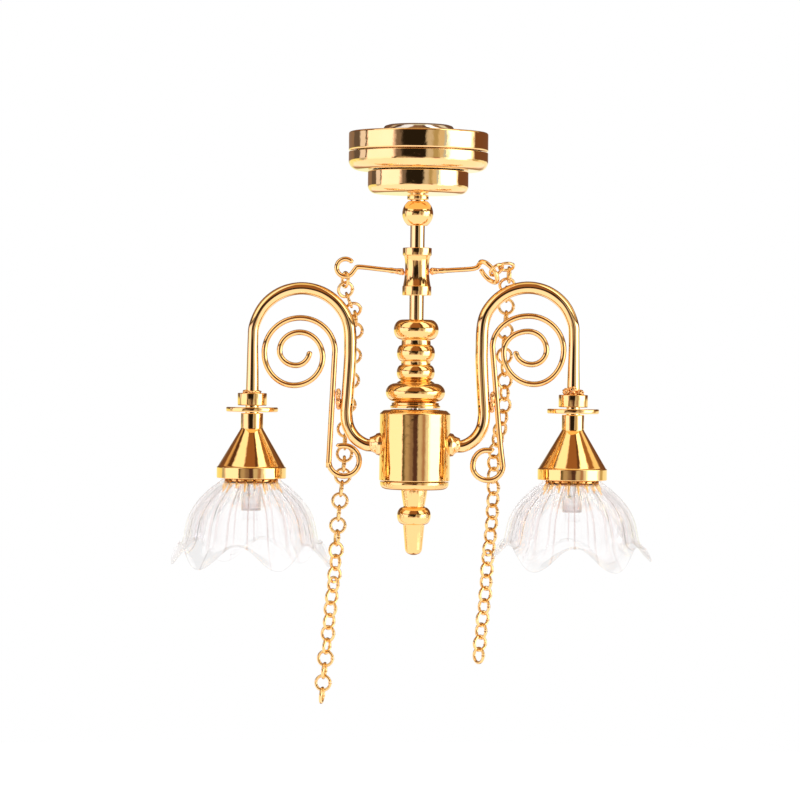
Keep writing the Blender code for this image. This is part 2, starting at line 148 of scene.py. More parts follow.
def math_node(tree, operation, *numbers, clamp=False):
    return add_node(tree, "ShaderNodeMath", operation.lower(), dict(enumerate(numbers)),
                    operation=operation, use_clamp=clamp).outputs[0]


def ranged(tree, label, value, start, end, low=0.0, high=1.0, curve="LINEAR"):
    """Turn a value's run from start to end into a run from low to high."""
    inputs = {"Value": value, "From Min": start, "From Max": end, "To Min": low, "To Max": high}
    return add_node(tree, "ShaderNodeMapRange", label, inputs, interpolation_type=curve).outputs[0]


def mixed(tree, label, factor, first, second):
    inputs = {"Factor": factor, "A": first, "B": second}
    return add_node(tree, "ShaderNodeMix", label, inputs, data_type="RGBA").outputs["Result"]


def noise_at(tree, label, place, scale, detail=2.0, roughness=0.5):
    inputs = {"Vector": place, "Scale": scale, "Detail": detail, "Roughness": roughness}
    return add_node(tree, "ShaderNodeTexNoise", label, inputs).outputs["Fac"]


def fill_ramp(ramp_node, stops):
    """Stops are (place from 0 to 1, colour)."""
    ramp = ramp_node.color_ramp
    while len(ramp.elements) > 1:
        ramp.elements.remove(ramp.elements[-1])
    ramp.elements[0].position, ramp.elements[0].color = stops[0]
    for place, colour in stops[1:]:
        ramp.elements.new(place).color = colour


# %% The room round the lamp
ROOM_STRENGTH = 4.0
WARM_SHADE = (0.20, 0.085, 0.045)
LEVEL_BANDS = (  # first degree, last degree (0 is the camera's side, + is to its right), colour
    (-180, -174, (1.0, 1.0, 1.0)),
    (-168, -136, (0.29, 0.20, 0.16)),
    (-130, -114, (0.14, 0.11, 0.11)),
    (-110, -99, (0.95, 0.90, 1.10)),
    (-97, -95, (0.10, 0.06, 0.04)),
    (-91, -46, (1.75, 1.42, 1.62)),
    (-36, -31, (0.22, 0.17, 0.17)),
    (-25, 11, (0.022, 0.016, 0.012)),
    (16, 20, (0.68, 0.62, 0.62)),
    (25, 31, (0.50, 0.41, 0.25)),
    (35, 41, (0.76, 0.64, 0.50)),
    (44, 48, (0.58, 0.70, 0.95)),
    (54, 94, (4.0, 3.9, 3.8)),
    (104, 162, WARM_SHADE),
    (172, 180, (1.0, 1.0, 1.0)),
)
LOW_BANDS = (
    (-180, -170, (1.0, 1.0, 0.6)),
    (-150, -116, (1.10, 1.05, 0.50)),
    (-107, -98, (0.55, 0.52, 0.50)),
    (-90, -44, (1.75, 1.42, 1.5)),
    (-40, -36, (0.13, 0.11, 0.06)),
    (-29, -22, (0.52, 0.42, 0.34)),
    (-13, -9, (0.30, 0.21, 0.18)),
    (-2, 6, (0.10, 0.05, 0.05)),
    (12, 18, (0.68, 0.62, 0.55)),
    (25, 31, (0.46, 0.28, 0.22)),
    (39, 45, (0.95, 0.98, 1.0)),
    (54, 86, (3.6, 3.5, 3.4)),
    (92, 98, (1.1, 1.1, 1.3)),
    (104, 113, (0.60, 0.50, 0.30)),
    (122, 180, (1.1, 1.05, 0.8)),
)
HIGH_BANDS = (
    (-180, -128, (0.22, 0.10, 0.05)),
    (-122, -112, (0.80, 0.52, 0.28)),
    (-106, -90, (0.12, 0.05, 0.025)),
    (-82, -40, (1.5, 1.35, 1.2)),
    (-30, 20, (0.36, 0.15, 0.06)),
    (27, 36, (0.14, 0.06, 0.03)),
    (44, 70, (2.4, 2.2, 1.9)),
    (78, 98, (0.40, 0.18, 0.07)),
    (104, 122, (1.2, 0.95, 0.60)),
    (128, 180, (0.22, 0.10, 0.05)),
)
BENCH_BANDS = (
    (-180, -168, (0.40, 0.22, 0.12)),
    (-150, 150, (1.35, 1.20, 1.20)),
    (168, 180, (0.40, 0.22, 0.12)),
)
ROOM = {"level": LEVEL_BANDS, "low": LOW_BANDS, "high": HIGH_BANDS, "bench": BENCH_BANDS}
OVERHEAD = (1.05, 0.86, 0.50)
SKYLINE = (0.10, 0.06, 0.035)
BOARDS = 8.0
GAP_GREY = (0.93, 0.87, 0.87, 1.0)


def dimmed(colour):
    """A colour in the room as a share of the room's strength."""
    return (*(part / ROOM_STRENGTH for part in colour), 1.0)


def band_stops(bands):
    return [((degree + 180.0) / 360.0, dimmed(colour)) for first, last, colour in bands
            for degree in (first, last)]


def fade_colour(tree, value, start, end, first, second):
    """Mix from the first colour to the second as a value goes from start to end."""
    return mixed(tree, "mix", ranged(tree, "fade", value, start, end, curve="SMOOTHSTEP"), first, second)


def room_colour(tree, direction, axes, around):
    """What stands in each direction, with edges shifted a little by noise."""
    clutter = noise_at(tree, "uneven edges of things in the room", direction, 5.0, 3.0)
    shift = math_node(tree, "MULTIPLY_ADD", clutter, 0.030, -0.015)
    turn = math_node(tree, "MULTIPLY_ADD", around, 1.0 / (2.0 * math.pi), 0.5)
    turn = math_node(tree, "ADD", turn, shift)
    height = math_node(tree, "MULTIPLY_ADD", clutter, 0.36, axes["Z"])
    height = math_node(tree, "SUBTRACT", height, 0.18)
    bands = []
    for title, rows in ROOM.items():
        ramp = add_node(tree, "ShaderNodeValToRGB", title + " bands", {0: turn})
        fill_ramp(ramp, band_stops(rows))
        bands.append(ramp.outputs[0])
    level, low, high, bench = bands
    colour = fade_colour(tree, axes["Z"], 0.030, -0.022, level, low)
    colour = fade_colour(tree, height, 0.20, 0.23, colour, dimmed(SKYLINE))
    colour = fade_colour(tree, height, 0.28, 0.33, colour, high)
    colour = fade_colour(tree, axes["Z"], 0.93, 0.97, colour, dimmed(OVERHEAD))
    return fade_colour(tree, height, -0.13, -0.28, colour, bench)


def backdrop_colour(tree, around, is_camera):
    """White for the camera. Through glass, white boards with pale grey gaps."""
    stripes = math_node(tree, "COSINE", math_node(tree, "MULTIPLY", around, BOARDS))
    through_glass = math_node(tree, "SUBTRACT", 1.0, is_camera)
    bent = math_node(tree, "MULTIPLY", stripes, through_glass)
    gaps = ranged(tree, "gaps between the white boards", bent, 0.0, -0.8, curve="SMOOTHSTEP")
    return mixed(tree, "white boards", gaps, (1.0, 1.0, 1.0, 1.0), GAP_GREY)


def make_world():
    world = bpy.data.worlds.new("studio")
    bpy.context.scene.world = world
    world.use_nodes = True
    tree = world.node_tree
    tree.nodes.clear()
    direction = add_node(tree, "ShaderNodeTexCoord", "direction").outputs["Generated"]
    axes = add_node(tree, "ShaderNodeSeparateXYZ", "x, y and z of the direction", {0: direction}).outputs
    around = math_node(tree, "ARCTAN2", axes["X"], math_node(tree, "MULTIPLY", axes["Y"], -1.0))
    rays = add_node(tree, "ShaderNodeLightPath", "kind of ray").outputs
    room = add_node(tree, "ShaderNodeBackground", "room",
                    {"Color": room_colour(tree, direction, axes, around), "Strength": ROOM_STRENGTH})
    backdrop = add_node(tree, "ShaderNodeBackground", "white backdrop",
                        {"Color": backdrop_colour(tree, around, rays["Is Camera Ray"]), "Strength": 1.0})
    seen = math_node(tree, "MAXIMUM", rays["Is Camera Ray"], rays["Is Transmission Ray"])
    choose = add_node(tree, "ShaderNodeMixShader", "backdrop or room",
                      {0: seen, 1: room.outputs[0], 2: backdrop.outputs[0]})
    add_node(tree, "ShaderNodeOutputWorld", "world", {"Surface": choose.outputs[0]})


make_world()
bpy.context.scene.view_settings.view_transform = "Standard"
print("room of", len(LEVEL_BANDS), "bands at eye level and", len(HIGH_BANDS), "higher up")

# %% [markdown]
# ## Shader groups
# The same small effects show up on many finishes, so each is a node group that is built once. The ripple
# is the slight waviness that thin plating keeps from the metal under it. The turning marks are the faint
# rings that a lathe leaves. The drift moves a colour between two tones in soft patches. The last one paints
# shade into hollows, found from how sharply the surface bends.

# %% Group helpers
FLOAT, COLOUR = "NodeSocketFloat", "NodeSocketColor"


def new_group(name, inputs, outputs):
    """A shader group from its inputs' defaults and its outputs' kinds. Gives its tree and input values."""
    tree = bpy.data.node_groups.new(name, "ShaderNodeTree")
    for title, value in inputs.items():
        kind = FLOAT if isinstance(value, float) else COLOUR
        socket = tree.interface.new_socket(title, in_out="INPUT", socket_type=kind)
        socket.default_value = value
    for title, kind in outputs.items():
        tree.interface.new_socket(title, in_out="OUTPUT", socket_type=kind)
    return tree, add_node(tree, "NodeGroupInput", "values in").outputs


def put_out(tree, **values):
    add_node(tree, "NodeGroupOutput", "values out", values)
    return tree


def own_coordinates(tree, stretch=(1.0, 1.0, 1.0)):
    """Places on the piece itself, so that a pattern stays on it when the piece moves."""
    place = add_node(tree, "ShaderNodeTexCoord", "place on the piece").outputs["Object"]
    stretched = add_node(tree, "ShaderNodeMapping", "stretch", {"Vector": place, "Scale": stretch})
    return stretched.outputs["Vector"]


# %% Ripple of thin plating
def make_ripple_group():
    tree, given = new_group(
        "plating_ripple", {"Wave Scale": 420.0, "Fine Scale": 2600.0, "Fine Share": 0.15},
        {"Height": FLOAT, "Patches": FLOAT})
    place = own_coordinates(tree)
    waves = noise_at(tree, "slow waves", place, given["Wave Scale"], 1.0)
    fine = noise_at(tree, "orange peel", place, given["Fine Scale"])
    share = math_node(tree, "MULTIPLY", fine, given["Fine Share"])
    return put_out(tree, Height=math_node(tree, "ADD", waves, share), Patches=fine)


ripple_group = make_ripple_group()


# %% Rings left by the lathe
def make_turning_group():
    tree, given = new_group("turning_marks", {"Rings": 9000.0, "Breaks": 260.0},
                            {"Height": FLOAT, "Mask": FLOAT})
    height_only = own_coordinates(tree, (0.0, 0.0, 1.0))
    rings = noise_at(tree, "rings down the axis", height_only, given["Rings"], 3.0)
    broken = noise_at(tree, "where they fade", own_coordinates(tree), given["Breaks"])
    shown = math_node(tree, "MULTIPLY", rings, ranged(tree, "fade", broken, 0.35, 0.65))
    return put_out(tree, Height=shown, Mask=shown)


turning_group = make_turning_group()


# %% Drift between two tones
TONE = (0.9, 0.6, 0.2, 1.0)


def make_drift_group():
    tree, given = new_group("tone_drift", {"Tone A": TONE, "Tone B": TONE, "Scale": 150.0, "Contrast": 1.0},
                            {"Colour": COLOUR, "Mask": FLOAT})
    patches = noise_at(tree, "soft patches", own_coordinates(tree), given["Scale"], 4.0, 0.6)
    centred = math_node(tree, "SUBTRACT", patches, 0.5)
    sharper = math_node(tree, "MULTIPLY", centred, given["Contrast"])
    mask = math_node(tree, "ADD", sharper, 0.5, clamp=True)
    return put_out(tree, Colour=mixed(tree, "tones", mask, given["Tone A"], given["Tone B"]), Mask=mask)


drift_group = make_drift_group()


# %% Painted shade in hollows
def make_hollow_shade_group():
    tree, given = new_group(
        "painted_hollow_shade", {"Clean": TONE, "Hollow Tone": (0.4, 0.2, 0.05, 1.0), "Depth": 0.5},
        {"Colour": COLOUR, "Hollows": FLOAT})
    bend = add_node(tree, "ShaderNodeNewGeometry", "how the surface bends").outputs["Pointiness"]
    # Painted shade: concave places, found from how the surface bends, darken unevenly towards the shade
    # tone.
    hollows = ranged(tree, "hollows", bend, 0.47, 0.30)
    unevenness = noise_at(tree, "uneven painted shade", own_coordinates(tree), 900.0)
    amount = math_node(tree, "MULTIPLY", math_node(tree, "MULTIPLY", hollows, unevenness), given["Depth"])
    return put_out(tree, Colour=mixed(tree, "unshaded to painted shade", amount, given["Clean"], given["Hollow Tone"]),
                   Hollows=hollows)


hollow_shade_group = make_hollow_shade_group()
print("shader groups:", ", ".join(sorted(group.name for group in bpy.data.node_groups)))

# %% [markdown]
# ## Plated metal
# Gold plate over brass is a mirror with a warm colour, so it needs a metallic shader of very low
# roughness. What keeps it from looking like computer chrome is small: a ripple in the reflections, lathe
# rings on turned pieces, a tone that drifts a little, and a redder, darker gold painted into the hollows as
# shade.
# One function makes every metal in the lamp, with its own colours and amounts.

# %% Metal finish
def use_group(tree, group, **values):
    """Place a group in a material and give its outputs. Keywords are its inputs, with _ for a space."""
    inputs = {name.replace("_", " "): value for name, value in values.items()}
    return add_node(tree, "ShaderNodeGroup", group.name, inputs, node_tree=group).outputs


def new_material(name):
    material = bpy.data.materials.new(name)
    material.use_nodes = True
    return material, material.node_tree, material.node_tree.nodes["Principled BSDF"]


def two_tones(tree, tone_a, tone_b, scale, contrast):
    return use_group(tree, drift_group, Tone_A=(*tone_a, 1.0), Tone_B=(*tone_b, 1.0), Scale=scale,
                     Contrast=contrast)


def rippled(tree, scale, finer, share):
    return use_group(tree, ripple_group, Wave_Scale=scale, Fine_Scale=scale * finer, Fine_Share=share)


def bumped(tree, label, height, strength, distance_mm):
    inputs = {"Height": height, "Strength": strength, "Distance": distance_mm * MM}
    return add_node(tree, "ShaderNodeBump", label, inputs).outputs["Normal"]


def metal(name, tone_a, tone_b, hollow_shade, roughness, ripple=0.35, rings=0.0, wave_scale=420.0, spread=0.05,
          bump_mm=0.01):
    """Plated metal. Ripple and rings are shares of the bump; spread is how far the roughness wanders."""
    material, tree, shader = new_material(name)
    drift = two_tones(tree, tone_a, tone_b, 160.0, 1.6)
    # The hollow shade tone is painted shade: a darker, redder gold in the hollows.
    hollow_shaded = use_group(tree, hollow_shade_group, Clean=drift["Colour"], Hollow_Tone=(*hollow_shade, 1.0), Depth=0.8)
    waves = rippled(tree, wave_scale, 6.0, 0.12)
    marks = use_group(tree, turning_group, Rings=9000.0, Breaks=260.0)
    wave_height = math_node(tree, "MULTIPLY", waves["Height"], ripple)
    ring_height = math_node(tree, "MULTIPLY", marks["Height"], rings)
    cloud = math_node(tree, "ADD", drift["Mask"], math_node(tree, "MULTIPLY", marks["Mask"], rings))
    cloud = math_node(tree, "MAXIMUM", math_node(tree, "MULTIPLY", cloud, 0.7), hollow_shaded["Hollows"])
    fill(tree, shader, {
        "Base Color": hollow_shaded["Colour"],
        "Roughness": ranged(tree, "polish to haze", cloud, 0.45, 0.80, roughness, roughness + spread),
        "Normal": bumped(tree, "ripple and rings", math_node(tree, "ADD", wave_height, ring_height), 1.0,
                         bump_mm),
        "Metallic": 1.0,
    })
    return material


# %% The metals of this lamp
# The third colour of each metal below is the painted shade in its hollows.
GOLD, PALE_GOLD, SHADED_GOLD = (0.93, 0.635, 0.27), (0.96, 0.69, 0.34), (0.50, 0.22, 0.05)
canopy_gold = metal("canopy_gold", GOLD, PALE_GOLD, SHADED_GOLD, 0.03, ripple=2.6, rings=0.10, wave_scale=800.0)
turned_gold = metal("turned_gold", GOLD, (0.94, 0.62, 0.24), SHADED_GOLD, 0.035, ripple=1.6, rings=0.15,
                    wave_scale=900.0)
pipe_gold = metal("pipe_gold", GOLD, PALE_GOLD, SHADED_GOLD, 0.05, ripple=0.5, wave_scale=350.0)
wire_gold = metal("wire_gold", GOLD, (0.93, 0.60, 0.24), SHADED_GOLD, 0.05, ripple=0.5, wave_scale=700.0)
chain_gold = metal("chain_gold", (0.93, 0.68, 0.32), (0.88, 0.58, 0.22), (0.36, 0.16, 0.03), 0.06,
                   ripple=1.3, wave_scale=1300.0, spread=0.10)
solder_gold = metal("solder_gold", (0.86, 0.46, 0.17), (0.93, 0.60, 0.28), (0.30, 0.10, 0.02), 0.16,
                    ripple=1.2, wave_scale=1500.0, spread=0.15, bump_mm=0.02)
magnet_nickel = metal("magnet_nickel", (0.70, 0.69, 0.68), (0.60, 0.59, 0.58), (0.20, 0.18, 0.16), 0.10,
                      ripple=0.5, rings=0.4, wave_scale=500.0)
bright_nickel = metal("bright_nickel", (0.74, 0.73, 0.71), (0.66, 0.65, 0.63), (0.25, 0.22, 0.2), 0.14,
                      ripple=0.3, rings=0.5)
print("metals made, gold plate at", GOLD)

# %% [markdown]
# ## Glass, lens, sleeve and board
# The shades are thin pressed glass with a hint of pink in the thick edges. Glass keeps a plain transmission
# value, and flutes and a ruffled rim bend what is behind them. The lines between the flutes are painted
# shade: a pinkish grey that is less clear. A faint bump stands for the seeds and the mould's skin. The
# light's lens is the same idea in clear resin. The white sleeve on its legs and the board in the canopy are
# matt plastics with their own fine texture and painted shade in their hollows.

# %% Clear finishes
def clear(name, colour, line_colour, ior, body, wave_scale, bump_mm):
    """Clear material. The mesh says in its painted_line attribute where painted shade lines are, from 0 to
    1.

    Body is how much of the light the clear parts bend. The rest goes straight through.
    """
    material, tree, shader = new_material(name)
    drift = two_tones(tree, colour, (1.0, 0.99, 0.985), 90.0, 1.2)
    painted_line = add_node(tree, "ShaderNodeAttribute", "painted shade lines", attribute_name="painted_line").outputs["Fac"]
    skin = rippled(tree, wave_scale, 5.0, 0.3)
    fill(tree, shader, {
        # Painted shade: along the painted lines the colour turns to the line colour and the glass grows less
        # clear.
        "Base Color": mixed(tree, "painted shade tint", painted_line, drift["Colour"], (*line_colour, 1.0)),
        "Alpha": math_node(tree, "MULTIPLY_ADD", painted_line, 0.65, body),
        "Roughness": ranged(tree, "clear to hazy", skin["Patches"], 0.0, 1.0, 0.0, 0.03),
        "Normal": bumped(tree, "skin of the mould", skin["Height"], 0.6, bump_mm),
        "Metallic": 0.0,
        "Transmission Weight": 1.0,
        "IOR": ior,
    })
    return material


# The second colour is the painted shade of the lines, with a pink cast.
shade_glass = clear("shade_glass", (0.998, 0.985, 0.985), (0.68, 0.53, 0.52), 1.42, 0.16, 260.0, 0.01)
lens_resin = clear("lens_resin", (0.99, 0.975, 0.975), (0.62, 0.52, 0.52), 1.45, 0.14, 500.0, 0.01)


# %% Matt plastics and the light's chip
def plastic(name, tone_a, tone_b, roughness, grain_scale, bump_mm):
    material, tree, shader = new_material(name)
    drift = two_tones(tree, tone_a, tone_b, grain_scale / 4.0, 2.0)
    # Painted shade: the hollows darken to four tenths of the plastic's tone.
    hollow_shade = (*(part * 0.4 for part in tone_a), 1.0)
    hollow_shaded = use_group(tree, hollow_shade_group, Clean=drift["Colour"], Hollow_Tone=hollow_shade, Depth=0.6)
    grain = rippled(tree, grain_scale, 4.0, 0.5)
    matt = min(1.0, roughness + 0.15)
    fill(tree, shader, {
        "Base Color": hollow_shaded["Colour"],
        "Roughness": ranged(tree, "worn to matt", grain["Patches"], 0.0, 1.0, roughness, matt),
        "Normal": bumped(tree, "grain", grain["Height"], 0.5, bump_mm),
    })
    return material


white_sleeve = plastic("white_sleeve", (0.86, 0.85, 0.82), (0.80, 0.78, 0.74), 0.45, 1800.0, 0.01)
board_green = plastic("board_green", (0.03, 0.16, 0.07), (0.05, 0.22, 0.10), 0.35, 2500.0, 0.01)
part_black = plastic("part_black", (0.03, 0.03, 0.03), (0.05, 0.05, 0.05), 0.4, 2500.0, 0.01)
phosphor = plastic("phosphor", (0.90, 0.74, 0.20), (0.92, 0.80, 0.35), 0.5, 6000.0, 0.005)
print("clear and matt finishes made")

# %% [markdown]
# ## Turning
# Most of the lamp comes off a lathe, so most pieces are one outline spun about an upright axis. A real
# cutter never leaves a perfectly sharp corner, and a sharp corner catches no light, so every corner of an
# outline is cut back and rounded before it is spun. Spinning in 96 steps makes the roundness smooth, and
# a weighted-normal modifier keeps flat faces looking flat next to the small roundings.

# %% Outlines and spinning
def arc(centre_r, centre_z, radius_r, radius_z, start, end, count=10):
    """Outline points on an ellipse, from one angle to another in degrees, with 90 at the top."""
    points = []
    for i in range(count + 1):
        angle = math.radians(start + (end - start) * i / count)
        points.append((centre_r + radius_r * math.cos(angle), centre_z + radius_z * math.sin(angle)))
    return points


def bead(neck_r, bead_r, top, bottom, count=16):
    """The swell of a turned bead, out from a neck and back."""
    return arc(neck_r, (top + bottom) / 2, bead_r - neck_r, (top - bottom) / 2, 90, -90, count)


def softened(outline, radius, closed, count=4):
    """Round every real corner of an outline with a small curve."""
    points = [Vector(p) for p in outline]
    total = len(points)
    result = []
    for i, here in enumerate(points):
        if not closed and i in (0, total - 1):
            result.append(here)
            continue
        before, after = points[i - 1] - here, points[(i + 1) % total] - here
        if before.length < 1e-6 or after.length < 1e-6:
            result.append(here)
            continue
        if math.pi - before.angle(after) < math.radians(18.0):
            result.append(here)
            continue
        cut = min(radius, 0.4 * before.length, 0.4 * after.length)
        first, last = here + before.normalized() * cut, here + after.normalized() * cut
        for k in range(count + 1):
            t = k / count
            result.append(first * (1 - t) ** 2 + here * 2 * t * (1 - t) + last * t ** 2)
    return result


def finish_mesh(name, bm, modifiers=True):
    """Turn a bmesh into a smooth-shaded object in the scene."""
    bmesh.ops.remove_doubles(bm, verts=bm.verts, dist=1e-7)
    bmesh.ops.recalc_face_normals(bm, faces=bm.faces)
    mesh = bpy.data.meshes.new(name)
    bm.to_mesh(mesh)
    bm.free()
    mesh.shade_smooth()
    piece = bpy.data.objects.new(name, mesh)
    bpy.context.scene.collection.objects.link(piece)
    if modifiers:
        even = piece.modifiers.new("even shading", "WEIGHTED_NORMAL")
        even.weight = 60
    return piece


def turned(name, outline, x=0.0, closed=False, corner=0.08, steps=96):
    """Spin an outline of (radius, height) in millimetres about an upright axis."""
    bm = bmesh.new()
    verts = [bm.verts.new((p[0] * MM, 0.0, p[1] * MM)) for p in softened(outline, corner, closed)]
    edges = [bm.edges.new(pair) for pair in zip(verts, verts[1:])]
    if closed:
        edges.append(bm.edges.new((verts[-1], verts[0])))
    bmesh.ops.spin(bm, geom=verts + edges, cent=(0, 0, 0), axis=(0, 0, 1), angle=2 * math.pi, steps=steps,
                   use_merge=True)
    bmesh.ops.translate(bm, verts=bm.verts, vec=(x * MM, 0.0, 0.0))
    return finish_mesh(name, bm)


def fit_out(piece, material, slot, body, *nodes):
    """Give a piece its finish, put it on its body and let it stand for its CAD nodes."""
    piece.data.materials.append(material)
    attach(piece, body)
    if nodes:
        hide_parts(*nodes)


def lathe(name, outline, *nodes, material=turned_gold, slot="gold_plate", body="lamp", **how):
    """Spin a piece and fit it out. Most turned pieces are gold and ride on the lamp."""
    fit_out(turned(name, outline, **how), material, slot, body, *nodes)


def straight(part, hole=0.0):
    """The outline of a plain disc or tube as tall and wide as a part, round a hole."""
    return [(hole, part.top), (part.r, part.top), (part.r, part.bottom), (hole, part.bottom)]


NICKEL = {"material": bright_nickel, "slot": "nickel_plate"}
CANOPY = {"material": canopy_gold, "closed": True}
# %% [markdown]
# ## The canopy
# The canopy is the battery case: a cap with a recess for the magnet, a cup that pushes up into it, and a
# smaller tier below for the switch board. Each is a thin spun shell, so it is drawn with its inside too.
# The rims are rolled: a generous curve under each wall is what catches the bright line all round.

# %% Magnet, cap, cup and tier
cap, cup, tier = span("canopy_cap"), span("canopy_cup"), span("canopy_tier")
STEM_HOLE = 1.35
SHELL = 0.8
PLATE = 0.6

lathe("magnet_disc",
      [(0.0, magnet.top), (4.9, magnet.top), (5.45, magnet.top - 0.2), (magnet.r, magnet.top - 0.75),
       (magnet.r, magnet.bottom), (0.0, magnet.bottom)],
      "ceiling_magnet", material=magnet_nickel, slot="nickel_plate", body="ceiling_mount", corner=0.15)

recess, cap_inside = magnet.r + 0.35, cap.r - 1.07
lathe("cap_shell",
      [(0.0, cap.top - PLATE), (recess, cap.top - PLATE), (recess, cap.top), (cap.r, cap.top),
       (cap.r, cap.bottom), (cap_inside, cap.bottom), (cap_inside, cap.top - 2 * PLATE),
       (0.0, cap.top - 2 * PLATE)],
      "canopy_cap", material=canopy_gold, body="ceiling_mount", corner=0.32)

CUP_ROLL = 1.6
skirt = 9.8
cup_rim = cap.bottom - 0.15
cup_outline = [(STEM_HOLE, cup.bottom + SHELL), (skirt - SHELL, cup.bottom + SHELL),
               (skirt - SHELL, cup.top), (skirt, cup.top), (skirt, cup_rim), (cup.r, cup_rim)]
cup_outline += arc(cup.r - CUP_ROLL, cup.bottom + CUP_ROLL, CUP_ROLL, CUP_ROLL, 0, -90)
cup_outline += [(STEM_HOLE, cup.bottom)]
lathe("cup_shell", cup_outline, "canopy_cup", **CANOPY)

TIER_ROLL = 1.3
tier_outline = [(STEM_HOLE, tier.bottom + 0.7), (tier.r - 0.75, tier.bottom + 0.7),
                (tier.r - 0.75, tier.top), (tier.r, tier.top)]
tier_outline += arc(tier.r - TIER_ROLL, tier.bottom + TIER_ROLL, TIER_ROLL, TIER_ROLL, 0, -90)
tier_outline += [(STEM_HOLE, tier.bottom)]
lathe("tier_shell", tier_outline, "canopy_tier", **CANOPY)
print("canopy %.1f mm across, %.1f mm deep" % (2 * cap.r, cap.top - tier.bottom))

# %% [markdown]
# ## Inside the canopy
# The battery is a coin cell: a wide can with a narrower lid set in a dark seal. Two sprung contacts press
# on it, and a small round board in the tier carries a resistor and the switch. They show only when the
# case is opened, but the model holds them, so they are made as they are.

# %% Coin cell and contacts
cell, top_contact, low_contact = span("coin_cell"), span("cap_contact"), span("cup_contact")
cell_outline = [(0.0, cell.top), (cell.r - 0.5, cell.top), (cell.r, cell.top - 0.5),
                (cell.r, cell.bottom + 0.35), (cell.r - 0.7, cell.bottom + 0.35),
                (cell.r - 0.8, cell.bottom), (0.0, cell.bottom)]
lathe("battery_cell", cell_outline, "coin_cell", corner=0.2, **NICKEL)
for title, contact, body, node in (("cap_spring_disc", top_contact, "ceiling_mount", "cap_contact"),
                                   ("cup_spring_disc", low_contact, "lamp", "cup_contact")):
    ridge = contact.r * 0.55
    outline = [(0.0, contact.top), (ridge, contact.top), (ridge + 0.3, contact.top - 0.08),
               (contact.r, contact.top - 0.08), (contact.r, contact.bottom), (0.0, contact.bottom)]
    lathe(title, outline, node, body=body, corner=0.05, **NICKEL)


# %% Switch board
def block(bm, centre, size, bevel):
    """A small bevelled block inside a bmesh, for a component on the board."""
    made = bmesh.ops.create_cube(bm, size=1.0)["verts"]
    for vert in made:
        vert.co = Vector([c + v * s for c, v, s in zip(centre, vert.co, size)]) * MM
    edges = {edge for vert in made for edge in vert.link_edges}
    bmesh.ops.bevel(bm, geom=list(edges), offset=bevel * MM, segments=2, affect="EDGES")


board = span("circuit_board")
lathe("switch_board", straight(board, 1.5), "circuit_board", material=board_green, slot="circuit_board",
      closed=True, corner=0.06)
COMPONENTS = ((20, (1.6, 0.8, 0.5)), (95, (1.2, 0.6, 0.45)), (170, (2.2, 1.4, 0.6)), (265, (1.6, 0.8, 0.5)))
COMPONENT_CIRCLE = 4.2
parts = bmesh.new()
for angle, size in COMPONENTS:
    x, y = (COMPONENT_CIRCLE * f(math.radians(angle)) for f in (math.cos, math.sin))
    block(parts, (x, y, board.bottom - size[2] / 2), size, 0.06)
fit_out(finish_mesh("board_components", parts), part_black, "circuit_board", "lamp")
print("board radius %.1f mm with %d components" % (board.r, len(COMPONENTS)))

# %% [markdown]
# ## Stem and spool
# A plain tube carries a thin ring, a ball and the waisted spool that the chains hang from. The spool's
# waist is a curve between two flat bands. A spline through a few radii gives it, and the bands keep their
# own small corners.

# %% A smooth curve through a few points
def smooth_path(points, spacing):
    """Points at an even spacing along a smooth curve that passes through every given point."""
    nodes = [Vector(p) for p in points]
    nodes = [nodes[0] * 2 - nodes[1]] + nodes + [nodes[-1] * 2 - nodes[-2]]
    dense = []
    for i in range(1, len(nodes) - 2):
        p0, p1, p2, p3 = nodes[i - 1:i + 3]
        for k in range(24):
            t = k / 24
            dense.append(0.5 * ((2 * p1) + (p2 - p0) * t + (2 * p0 - 5 * p1 + 4 * p2 - p3) * t ** 2
                                + (3 * p1 - p0 - 3 * p2 + p3) * t ** 3))
    dense.append(nodes[-2])
    length = sum((b - a).length for a, b in zip(dense, dense[1:]))
    count = max(2, round(length / spacing))
    return [walk_along(dense, length * i / count) for i in range(count + 1)]


def walk_along(points, distance):
    """The point at a distance along a run of points, going straight on past its end."""
    left = distance
    for a, b in zip(points, points[1:]):
        step = (b - a).length
        if left <= step and step > 0:
            return a.lerp(b, left / step)
        left -= step
    return points[-1] + (points[-1] - points[-2]).normalized() * left


# %% Tube, ring, ball and spool
tube, ring, ball, spool = span("stem_tube"), span("stem_collar"), span("ball_bead"), span("spool_collar")
lathe("stem_pipe", straight(tube, 0.7), "stem_tube", material=pipe_gold, closed=True, corner=0.1)
lathe("stem_ring", straight(ring, STEM_HOLE), "stem_collar", closed=True, corner=0.2)
ball_z = (ball.top + ball.bottom) / 2
polar = math.degrees(math.asin(min(1.0, (ball.top - ball_z) / ball.r)))
ball_outline = arc(0.0, ball_z, ball.r, ball.r, polar, -polar, 28)
ball_outline = [(STEM_HOLE, ball_outline[0][1])] + ball_outline + [(STEM_HOLE, ball_outline[-1][1])]
lathe("stem_ball", ball_outline, "ball_bead", closed=True, corner=0.12)

SPOOL_BAND = 1.2
waist = smooth_path([(spool.r - 0.16, spool.top - SPOOL_BAND - 0.05), (spool.r - 0.36, spool.top - 2.0),
                     (spool.r - 0.40, spool.top - 3.4), (spool.r - 0.30, spool.top - 4.9),
                     (spool.r - 0.10, spool.bottom + 1.5)], 0.3)
spool_outline = [(STEM_HOLE, spool.top), (spool.r, spool.top), (spool.r, spool.top - SPOOL_BAND)]
spool_outline += [tuple(p) for p in waist]
spool_outline += [(spool.r, spool.bottom + 1.45), (spool.r, spool.bottom), (STEM_HOLE, spool.bottom)]
lathe("chain_spool", spool_outline, "spool_collar", closed=True, corner=0.1)
print("spool %.1f mm long" % (spool.top - spool.bottom))

